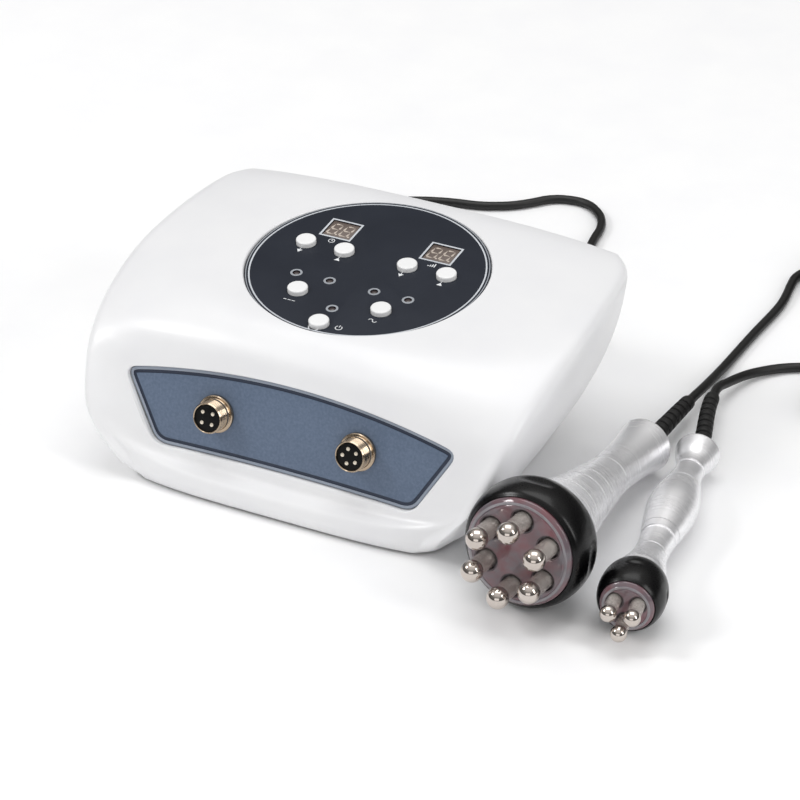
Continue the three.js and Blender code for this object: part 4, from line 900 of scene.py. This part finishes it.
def addCasing(c):
    rows, loop, rims, feet, outs, bulges = casingLoop()
    last, wide = len(rows) - 1, c["columns"]
    bm = bmesh.new()
    grid = bmesh.ops.create_grid(bm, x_segments=wide, y_segments=last, size=1)["verts"]
    for n, v in enumerate(grid):
        j, i = divmod(n, wide + 1)
        t = c["frontStart"] + (12 - c["backStart"] - c["frontStart"]) * rows[j] / 12
        v.co = skin(across(i) * (1 - c["edge"] / between(c["stations"], t)[0]), t)
    ring = [grid[j * (wide + 1) + i] for i, j in loop]
    starts = [v.co.copy() for v in ring]
    reach = [min(c["edge"] / (rim - foot).length, 0.45) for rim, foot in zip(rims, feet)]
    for k in range(1, c["edgeSteps"] + 1):
        ring, t = nextRing(bm, ring), k / c["edgeSteps"]
        for n, v in enumerate(ring):
            end = wallAt(rims[n], feet[n], outs[n], bulges[n], reach[n])
            v.co = bent(starts[n], rims[n], end, t)
    for k in range(1, c["wallSteps"] + 1):
        ring = nextRing(bm, ring)
        for n, v in enumerate(ring):
            v.co = wallAt(rims[n], feet[n], outs[n], bulges[n], reach[n] + (1 - reach[n]) * k / c["wallSteps"])
    bmesh.ops.recalc_face_normals(bm, faces=bm.faces)
    bmesh.ops.transform(bm, matrix=plan, verts=bm.verts)
    bm.normal_update()
    up = max(bm.faces, key=lambda f: f.calc_center_median().z).normal.z
    if up < 0:
        bmesh.ops.reverse_faces(bm, faces=bm.faces)
    tree = BVHTree.FromBMesh(bm)
    shell = newObject("shell", plainMesh(bm))
    thick = shell.modifiers.new("thick", "SOLIDIFY")
    thick.thickness, thick.offset = c["wall"] * mm, -1
    mesh = appliedMesh(shell)
    bpy.data.objects.remove(shell)
    # ledges under the plate and the panel, and the rear pad
    pads = bmesh.new()
    low, inner, outer = -plate["thickness"] - 0.3, plate["radius"] - plate["ledge"], plate["radius"] + 3.4
    section = [(inner, low - 5), (outer, low - 5), (outer, low + 0.6), (inner, low + 0.6), (inner, low - 5)]
    placed(pads, spun(section, "Z", 96), plateSpace)
    back = -panel["thickness"] - 0.3
    placed(pads, prism(grown(panelOutline(), 3), back - 3, back + 0.8), panelSpace)
    placed(pads, prism(grown(rearOutline(), 3), -3, 0.8), rearSpace)
    recesses = bmesh.new()
    pocket(circleLine(plate["radius"] + plate["gap"]), low, plateSpace, tree, plate["fillet"], recesses)
    pocket(grown(panelOutline(), panel["gap"]), back, panelSpace, tree, panel["fillet"], recesses)
    pocket(rearOutline(), 0, rearSpace, tree, rear["fillet"], recesses)
    holes = bmesh.new()
    placed(holes, prism(circleLine(inner, steps=96), low - 12, low + 1), plateSpace)
    window = [Vector((p.x * 0.93, panel["crown"] / 2 + (p.y - panel["crown"] / 2) * 0.84)) for p in panelOutline()]
    placed(holes, prism(window, back - 10, back + 1), panelSpace)
    placed(holes, block((*rear["switchHole"], 20), (rear["switch"], 0, -5)), rearSpace)
    placed(holes, pillar(rear["fuseHole"], -20, 5, rear["fuse"]), rearSpace)
    placed(holes, pillar(rear["glandHole"], -20, 5, rear["gland"]), rearSpace)
    for k in range(rear["vents"]):
        x = rear["firstVent"] + k * rear["ventPitch"]
        placed(holes, block((*rear["vent"], 30), (x, 0, 0), 1.3, 3), rearSpace)
    made = carved(mesh, ("UNION", plainMesh(pads)), ("DIFFERENCE", plainMesh(recesses)),
                  ("DIFFERENCE", plainMesh(holes)), sharp=32)
    addPiece("casing_shell", made, casingWhite, "console", "casing_white", "casing")


addCasing(casing)
print("casing is moulded")


# control plate with its buttons, lamps and displays
def addPlate(p):
    edge, low = p["radius"], -p["thickness"]
    bm = spun(roundedLine([(0, low), (edge, low), (edge, 0), (0, 0)], 0.5, 3), "Z", 160)
    holes = bmesh.new()
    for x, y in p["buttons"].values():
        pillar(p["buttonHole"], -6, 3, x, y, 64, holes)
    for x, y in p["lamps"]:
        pillar(p["lampHole"], -6, 3, x, y, 32, holes)
    for x, y in p["displays"].values():
        block((p["window"][0] + 0.4, p["window"][1] + 0.4, 8), (x, y, 0), bm=holes)
    addPiece("control_plate_face", cut(bm, holes, plateSpace), plateGraphite, "console", "plate_graphite",
             "control_plate")


def addPrint(p):  # border ring, lamp rings, display frames and the marks beside the buttons
    bm = bmesh.new()
    def printedRing(inner, outer, x, y, high, steps):
        spun([(inner, 0.0), (inner, high), (outer, high), (outer, 0.0), (inner, 0.0)], "Z", steps, bm, (x, y, 0))
    printedRing(*p["border"], 0, 0, 0.05, 160)
    for x, y in p["displays"].values():
        w, h = (side / 2 + 0.15 for side in p["window"])
        for dx, dy, sx, sy in ((0, h + 0.5, 2 * w + 2, 1), (0, -h - 0.5, 2 * w + 2, 1),
                               (w + 0.5, 0, 1, 2 * h), (-w - 0.5, 0, 1, 2 * h)):
            block((sx, sy, 0.08), (x + dx, y + dy, 0.04), bm=bm)
    addPiece("plate_print_silver", meshOf(bm, plateSpace), printSilver, "console", "plate_graphite")
    bm = bmesh.new()
    # a grey ring just inside the plate's rounded edge: painted highlight of that edge
    printedRing(*p["edgeHighlight"], 0, 0, 0.04, 160)
    for x, y in p["lamps"]:
        printedRing(*p["lampRing"], x, y, 0.12, 48)
    addPiece("plate_print_grey", meshOf(bm, plateSpace), printGrey, "console", "plate_graphite")
    bm = bmesh.new()
    ink, arrow = p["ink"], p["arrow"]
    def bar(x, y, wide, high):
        block((wide, high, ink), (x, y, ink / 2), bm=bm)
    for name, turn in (("time_down", -1), ("time_up", 1), ("intensity_down", -1), ("intensity_up", 1)):
        x, y = p["buttons"][name]
        middle, reach = y - arrow["below"], arrow["half"] * turn
        foot = middle - arrow["foot"] * turn
        prism([(x - reach, foot), (x + reach, foot), (x, middle + reach)], 0, ink, bm)
        bar(x, y - arrow["dash"], 0.35, 1.4)
    # a power mark beside the last button and an arc below it, a clock, rising bars, three dashes and a wave
    def arc(x, y, inner, outer, start, sweep):
        ring = bmesh.new()
        newRing(ring, [(inner, 0, 0), (inner, 0, ink), (outer, 0, ink), (outer, 0, 0)])
        bmesh.ops.spin(ring, geom=ring.verts[:] + ring.edges[:] + ring.faces[:], cent=(0, 0, 0), axis=(0, 0, 1),
                       angle=radians(sweep), steps=36, use_merge=False)
        placed(bm, ring, Matrix.Translation((x, y, 0)) @ Matrix.Rotation(radians(start), 4, "Z"))
    arc(10.6, -52.6, 1.45, 1.85, 125, 290)
    bar(10.6, -51.3, 0.4, 1.7)
    arc(-0.7, -56.6, 2.6, 3.1, 185, 170)
    arc(-28.15, 15.4, 1.4, 1.75, 0, 359)
    bar(-28.15, 15.9, 0.35, 1.1)
    bar(-27.7, 15.4, 0.9, 0.35)
    for k in range(4):
        high = 0.9 + 0.7 * k
        bar(26.6 + 1.1 * k, 13.8 + high / 2, 0.6, high)
    for k in range(3):
        bar(-25.3 + 2.3 * k, -40.4, 1.7, 0.45)
    arc(21.9, -40.4, 0.85, 1.25, 0, 180)
    arc(24.0, -40.4, 0.85, 1.25, 180, 180)
    addPiece("plate_print_white", meshOf(bm, plateSpace), printWhite, "console", "plate_graphite")


def addButtons(p):
    profile = [(0, -3.8), (6.3, -3.8), (6.3, -2.3), (5.15, -2.3), (5.15, 1.3)]
    profile += [(4.35 + 0.8 * cos(radians(a)), 1.7 + 0.8 * sin(radians(a))) for a in range(0, 90, 15)]
    profile += [(4.2, 2.5), (2, 2.47), (0, 2.46)]
    for name, (x, y) in p["buttons"].items():
        bm = spun(profile, "Z", 64, offset=(x, y, 0))
        addPiece(name + "_cap", meshOf(bm, plateSpace, 40), buttonWhite, name, "button_white", name + "_button")


def addDisplays(p, d):
    w, h = p["window"]
    for name, (x, y) in p["displays"].items():
        bm = block((w, h, 8.2), (x, y, -4.55), 0.25, 2)
        addPiece(name + "_window", meshOf(bm, plateSpace), windowBrown, "console", "display_window", name)
        bm = bmesh.new()
        def segment(cx, cy, long, upright):
            made = bmesh.ops.create_circle(bm, cap_ends=True, segments=6, radius=1)["verts"]
            for v in made:
                point = abs(v.co.x) > 0.7
                sx, sy = (1 if v.co.x > 0 else -1), (0 if point else (1 if v.co.y > 0 else -1))
                px, py = sx * (long / 2 if point else long / 2 - d["tip"]), sy * d["tip"]
                if upright:
                    px, py = py, px
                px, py = cx + px, cy + py
                v.co = (x + px + py * d["lean"], y + py, d["level"])
        for side in (-1, 1):
            cx = side * d["apart"] + d["shift"]
            for cy in (-d["half"], 0, d["half"]):
                segment(cx, cy, d["across"], False)
            for dx in (-d["side"], d["side"]):
                for dy in (-d["quarter"], d["quarter"]):
                    segment(cx + dx, dy, d["upright"], True)
            dot = bmesh.ops.create_circle(bm, cap_ends=True, segments=16, radius=d["dot"])["verts"]
            dotX, dotY = d["dotPlace"]
            bmesh.ops.translate(bm, verts=dot, vec=(x + cx + dotX, y + dotY, d["level"]))
        made = bmesh.ops.extrude_face_region(bm, geom=bm.faces[:])["geom"]
        bmesh.ops.translate(bm, verts=[v for v in made if isinstance(v, bmesh.types.BMVert)], vec=(0, 0, -0.06))
        addPiece(name + "_digits", meshOf(bm, plateSpace), segmentTan, "console", "display_window")


def addControlBoard(p, b):
    top, low, r = b["top"], b["top"] - b["thickness"], b["radius"]
    bm = spun(roundedLine([(0, low), (r, low), (r, top), (0, top)], 0.2, 2), "Z", 96)
    addPiece("control_board_disc", meshOf(bm, plateSpace), boardGreen, "console", "board_green", "control_board")
    bm = bmesh.new()
    for x, y in p["buttons"].values():
        block(b["switch"], (x, y, b["switchLevel"]), 0.3, 2, bm)
        pillar(b["stem"], -7, -5.3, x, y, 24, bm)
    for x, y in b["posts"]:
        pillar(b["post"], top, -2.3, x, y, 24, bm)
    addPiece("control_board_switches", meshOf(bm, plateSpace), blackPlastic, "console", "black_plastic")
    dome = [(1.95 * cos(radians(a)), -0.7 + 0.8 * sin(radians(a))) for a in range(0, 91, 15)]
    lamp = [(0, top), (2.2, top), (2.2, -1.2), (1.95, -1.2), *dome]
    bm = spunAt([(x, y, 0) for x, y in p["lamps"]], lamp, "Z", 32)
    addPiece("control_lamps", meshOf(bm, plateSpace), lampDark, "console", "display_window")


addPlate(plate)
addPrint(plate)
addButtons(plate)
addDisplays(plate, digit)
addControlBoard(plate, controlBoard)
print("control plate is fitted")


# jack panel and its two jacks
def addPanel(p):
    line = panelOutline()
    bm = bmesh.new()
    ring = newRing(bm, [(*q, -p["thickness"]) for q in line])
    # rim bands take the painted highlight grey, groove bands the painted shade navy
    bands = [(0, -0.5, 1), (0.15, -0.15, 1), (0.5, 0, 1), (1.55, -0.1, 1), (1.65, -0.25, 1), (1.8, -0.6, 2),
             (3.2, -0.6, 2), (3.35, -0.25, 2), (3.65, -0.18, 0)]
    for inset, z, finish in bands:
        before = set(bm.faces)
        ring = nextRing(bm, ring)
        for v, q in zip(ring, grown(line, -inset)):
            v.co = (*q, z)
        for f in set(bm.faces) - before:
            f.material_index = finish
    bmesh.ops.contextual_create(bm, geom=ring)
    holes = bmesh.new()
    for x, _ in p["jacks"].values():
        pillar(p["jackHole"], -6, 3, x, p["jackHeight"], 48, holes)
    face = cut(bm, holes, panelSpace, 25)
    kept = [q.material_index for q in face.polygons]
    addPiece("jack_panel_face", face, panelBlue, "console", "panel_blue_grey", "jack_panel")
    face.materials.append(panelRimHighlight)
    face.materials.append(panelGrooveShade)
    face.polygons.foreach_set("material_index", kept)


def addJacks(p):
    for name, (x, pins) in p["jacks"].items():
        y = p["jackHeight"]
        own = panelSpace @ Matrix.Translation((x, y, 0))
        metal = turnedMetal(name + "Nickel", own, "Z", (190, 173, 152), (132, 112, 92), 2600, 0.2, 0.14, 0.16)
        thread = []
        for k in range(jack["threads"]):
            s = jack["threadStart"] + k * jack["threadPitch"]
            thread += [(7.8, s), (8.02, s + 0.35), (8.02, s + 0.7), (7.8, s + 1.0)]
        profile = [(7.05, -12), (7.8, -12), (7.8, 0.02), (9.3, 0.02), (9.6, 0.3), (9.6, 1.9), (9.2, 2.3), (8.3, 2.4),
                   (8.0, 2.8), *thread, (8.0, 9.2), (8.0, 9.6), (7.5, 10.4), (7.3, 10.4), (7.05, 10.15), (7.05, -12)]
        bm = spun(profile, "Z", 96, offset=(x, y, 0))
        addPiece(name + "_barrel", meshOf(bm, panelSpace, 28), metal, "console", "nickel", name + "_shell")
        bm = spun(roundedLine([(0, -10), (6.9, -10), (6.9, 9.7), (0, 9.7)], 0.3, 2), "Z", 64, offset=(x, y, 0))
        block((2.2, 1.3, 4), (x, y + 6.1, 8.3), 0.2, 2, bm)
        addPiece(name + "_core", meshOf(bm, panelSpace), socketBlack, "console", "black_plastic", name + "_insert")
        pin = [(0, -15), (1, -15), (1, 9.8), (0.85, 10.05), (0.5, 10.2), (0, 10.25)]
        angles, out = [2 * pi * (k + 0.5) / pins for k in range(pins)], jack["contactCircle"]
        bm = spunAt([(x + out * cos(a), y + out * sin(a), 0) for a in angles], pin, "Z", 24)
        addPiece(name + "_contacts", meshOf(bm, panelSpace), pinPale, "console", "nickel")


addPanel(panel)
addJacks(panel)
print("jack panel is fitted")


# rear: rocker switch, fuse holder and cord gland; feet, base and what is inside
rocker = dict(bezel=(15, 21, 1.7), shell=(13, 19, 13), opening=(11, 17, 12), width=10.3, tilt=9,
              side=[(0, 2.6), (7.6, 3.8), (7.2, -0.5), (0, -3), (-7.2, -0.5), (-7.6, 3.8)])


def addRocker(p, x):
    upper = cut(block(p["bezel"], (x, 0, 0.87), 0.5, 3), block(p["opening"], (x, 0, -2), 0.4, 2))
    bm = bmesh.new()
    bm.from_mesh(upper)
    bm.from_mesh(cut(block(p["shell"], (x, 0, -6.4)), block(p["opening"], (x, 0, -5))))
    addPiece("rocker_frame", meshOf(bm, rearSpace), blackPlastic, "console", "black_plastic", "rocker_bezel")
    bm = prism(p["side"], -p["width"] / 2, p["width"] / 2)
    bmesh.ops.bevel(bm, geom=bm.edges[:], offset=0.4, offset_type="OFFSET", segments=3, profile=0.5, affect="EDGES",
                    material=-1, clamp_overlap=True)
    tilt = Matrix.Rotation(radians(p["tilt"]), 4, "X")
    lie = tilt @ Matrix.Rotation(pi / 2, 4, "X") @ Matrix.Rotation(pi / 2, 4, "Y")
    lever = rearSpace @ Matrix.Translation((x, 0, -0.6)) @ lie
    addPiece("power_rocker_lever", meshOf(bm, lever), blackPlastic, "rocker", "black_plastic", "power_rocker")


def addFuseAndGland(p):
    profile = [(0, -16), (6, -16), (6, 0.02), (8, 0.02), (8, 2), (6.8, 3.4), (0, 3.4)]
    bm = spun(roundedLine(profile, 0.5, 3), "Z", 64, offset=(p["fuse"], 0, 0))
    holder = cut(bm, block((8, 1.4, 2.4), (p["fuse"], 0, 3.4)), rearSpace)
    addPiece("fuse_holder_cap", holder, blackPlastic, "console", "black_plastic", "fuse_holder")
    profile = [(0, -6), (5, -6), (5, 0.02), (7.5, 0.02), (7.5, 2.2), (6.8, 2.9), (5.6, 3.4)]
    for k in range(7):
        s, r = 5 + k * 3.3, 5.2 - k * 0.17
        profile += [(r - 0.8, s - 0.7), (r - 0.8, s), (r, s + 0.6), (r, s + 2)]
    profile += [(3.9, 28.6), (3.9, 29.4), (3.5, 30), (0, 30)]
    bm = spun(roundedLine(profile, 0.25, 2), "Z", 48, offset=(p["gland"], 0, 0))
    addPiece("cord_gland_sleeve", meshOf(bm, rearSpace), rubberBlack, "console", "black_rubber", "cord_gland")


underside = dict(low=4.3, thickness=2.5, gap=0.5, footRadius=8, footHeight=4.32,
                 screws=[(-78, -64), (78, -64), (-72, 12), (72, 12), (0, -88), (0, 34)])


def addUnderside(u):
    _, _, rims, feet, outs, bulges = casingLoop()
    low, line = u["low"], []
    for rim, foot, out, bulge in zip(rims, feet, outs, bulges):
        v = (rim.z - low - 1) / (rim.z - casing["footZ"])
        line.append((wallAt(rim, foot, out, bulge, v) - out * (casing["wall"] + u["gap"])).xy)
    bm = prism(line[::3], low, low + u["thickness"])
    addPiece("base_cover", meshOf(bm, plan, 40), casingWhite, "console", "casing_white", "base_plate")
    r, high = u["footRadius"], u["footHeight"]
    for n, (x, y) in enumerate(footSpots):
        bm = spun(roundedLine([(0, 0), (r - 1, 0), (r, 1), (r, high), (0, high)], 0.4, 3), "Z", 48, offset=(x, y, 0))
        addPiece(f"foot_pad_{n + 1}", meshOf(bm, plan), rubberBlack, "console", "black_rubber", f"foot_{n + 1}")
    screw = [(0, 3.6), (1.6, 3.65), (2.7, 4.0), (3, high), (0, high)]
    bm = spunAt([(x, y, 0) for x, y in u["screws"]], screw, "Z", 32)
    addPiece("base_screws", meshOf(bm, plan), coreSteel, "console", "nickel")


addRocker(rocker, rear["switch"])
addFuseAndGland(rear)
addUnderside(underside)
for name, finish in (("transformer", coreSteel), ("rf_board", boardGreen)):
    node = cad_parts[name]
    node.data.materials.clear()
    node.data.materials.append(finish)
print("rear and underside are fitted")

# pale floor and soft studio light
floor = dict(size=14, colour=(252, 252, 252), drift=(249, 249, 250))
lights = dict(
    left=dict(place=(-1.4, -0.8, 1.5), size=(0.5, 0.5), power=12),
    right=dict(place=(1.7, -0.2, 1.0), size=(0.5, 1.1), power=8.5),
    front=dict(place=(0.5, -1.7, 0.5), size=(1.4, 0.7), power=3.5),
    top=dict(place=(-0.1, 0.3, 2.2), size=(1.8, 1.4), power=19))
lightsAim = (0, 0, 0.05)
sky = dict(pale=0.98, ambient=0.46, gradient=[(0.0, 0.4), (0.02, 0.07), (0.45, 0.16), (0.7, 0.58), (1.0, 0.9)])


def addStudio():
    bpy.context.scene.view_settings.view_transform = "Standard"
    bm = bmesh.new()
    bmesh.ops.create_grid(bm, x_segments=1, y_segments=1, size=floor["size"] / 2)
    ground = newObject("floor", plainMesh(bm))
    ground.data.materials.append(moulded("floorPale", floor["colour"], floor["drift"], 40, 0.0, 0.8, 0.1,
                                         **{"Specular IOR Level": 0.2}))
    for name, l in lights.items():
        data = bpy.data.lights.new(name, "AREA")
        data.shape = "RECTANGLE"
        data.size, data.size_y = l["size"]
        data.energy = l["power"]
        lamp = newObject(name, data)
        lamp.location = l["place"]
        lamp.rotation_euler = (Vector(lightsAim) - lamp.location).to_track_quat("-Z", "Y").to_euler()
    world = bpy.data.worlds.new("studio")
    bpy.context.scene.world = world
    world.use_nodes = True
    tree = world.node_tree
    room = tree.nodes["Background"]
    where = tree.nodes.new("ShaderNodeTexCoord")
    apart = tree.nodes.new("ShaderNodeSeparateXYZ")
    ramp = tree.nodes.new("ShaderNodeValToRGB")
    stops = ramp.color_ramp.elements
    while len(stops) < len(sky["gradient"]):
        stops.new(0.5)
    for stop, (position, value) in zip(stops, sky["gradient"]):
        stop.position, stop.color = position, (value, value * 0.98, value * 0.96, 1)
    pale = shaderNode(tree, "ShaderNodeBackground", Color=(1, 1, 1, 1), Strength=sky["pale"])
    ambient = shaderNode(tree, "ShaderNodeBackground", Color=(1, 1, 1, 1), Strength=sky["ambient"])
    ray = tree.nodes.new("ShaderNodeLightPath")
    soft, seen = (tree.nodes.new("ShaderNodeMixShader") for _ in range(2))
    wire(tree, (where.outputs["Generated"], apart.inputs["Vector"]), (apart.outputs["Z"], ramp.inputs["Fac"]),
         (ramp.outputs["Color"], room.inputs["Color"]),
         *zip((ray.outputs["Is Glossy Ray"], ambient.outputs[0], room.outputs[0]), soft.inputs),
         *zip((ray.outputs["Is Camera Ray"], soft.outputs[0], pale.outputs[0]), seen.inputs),
         (seen.outputs[0], tree.nodes["World Output"].inputs["Surface"]))


addStudio()
print("studio is lit")
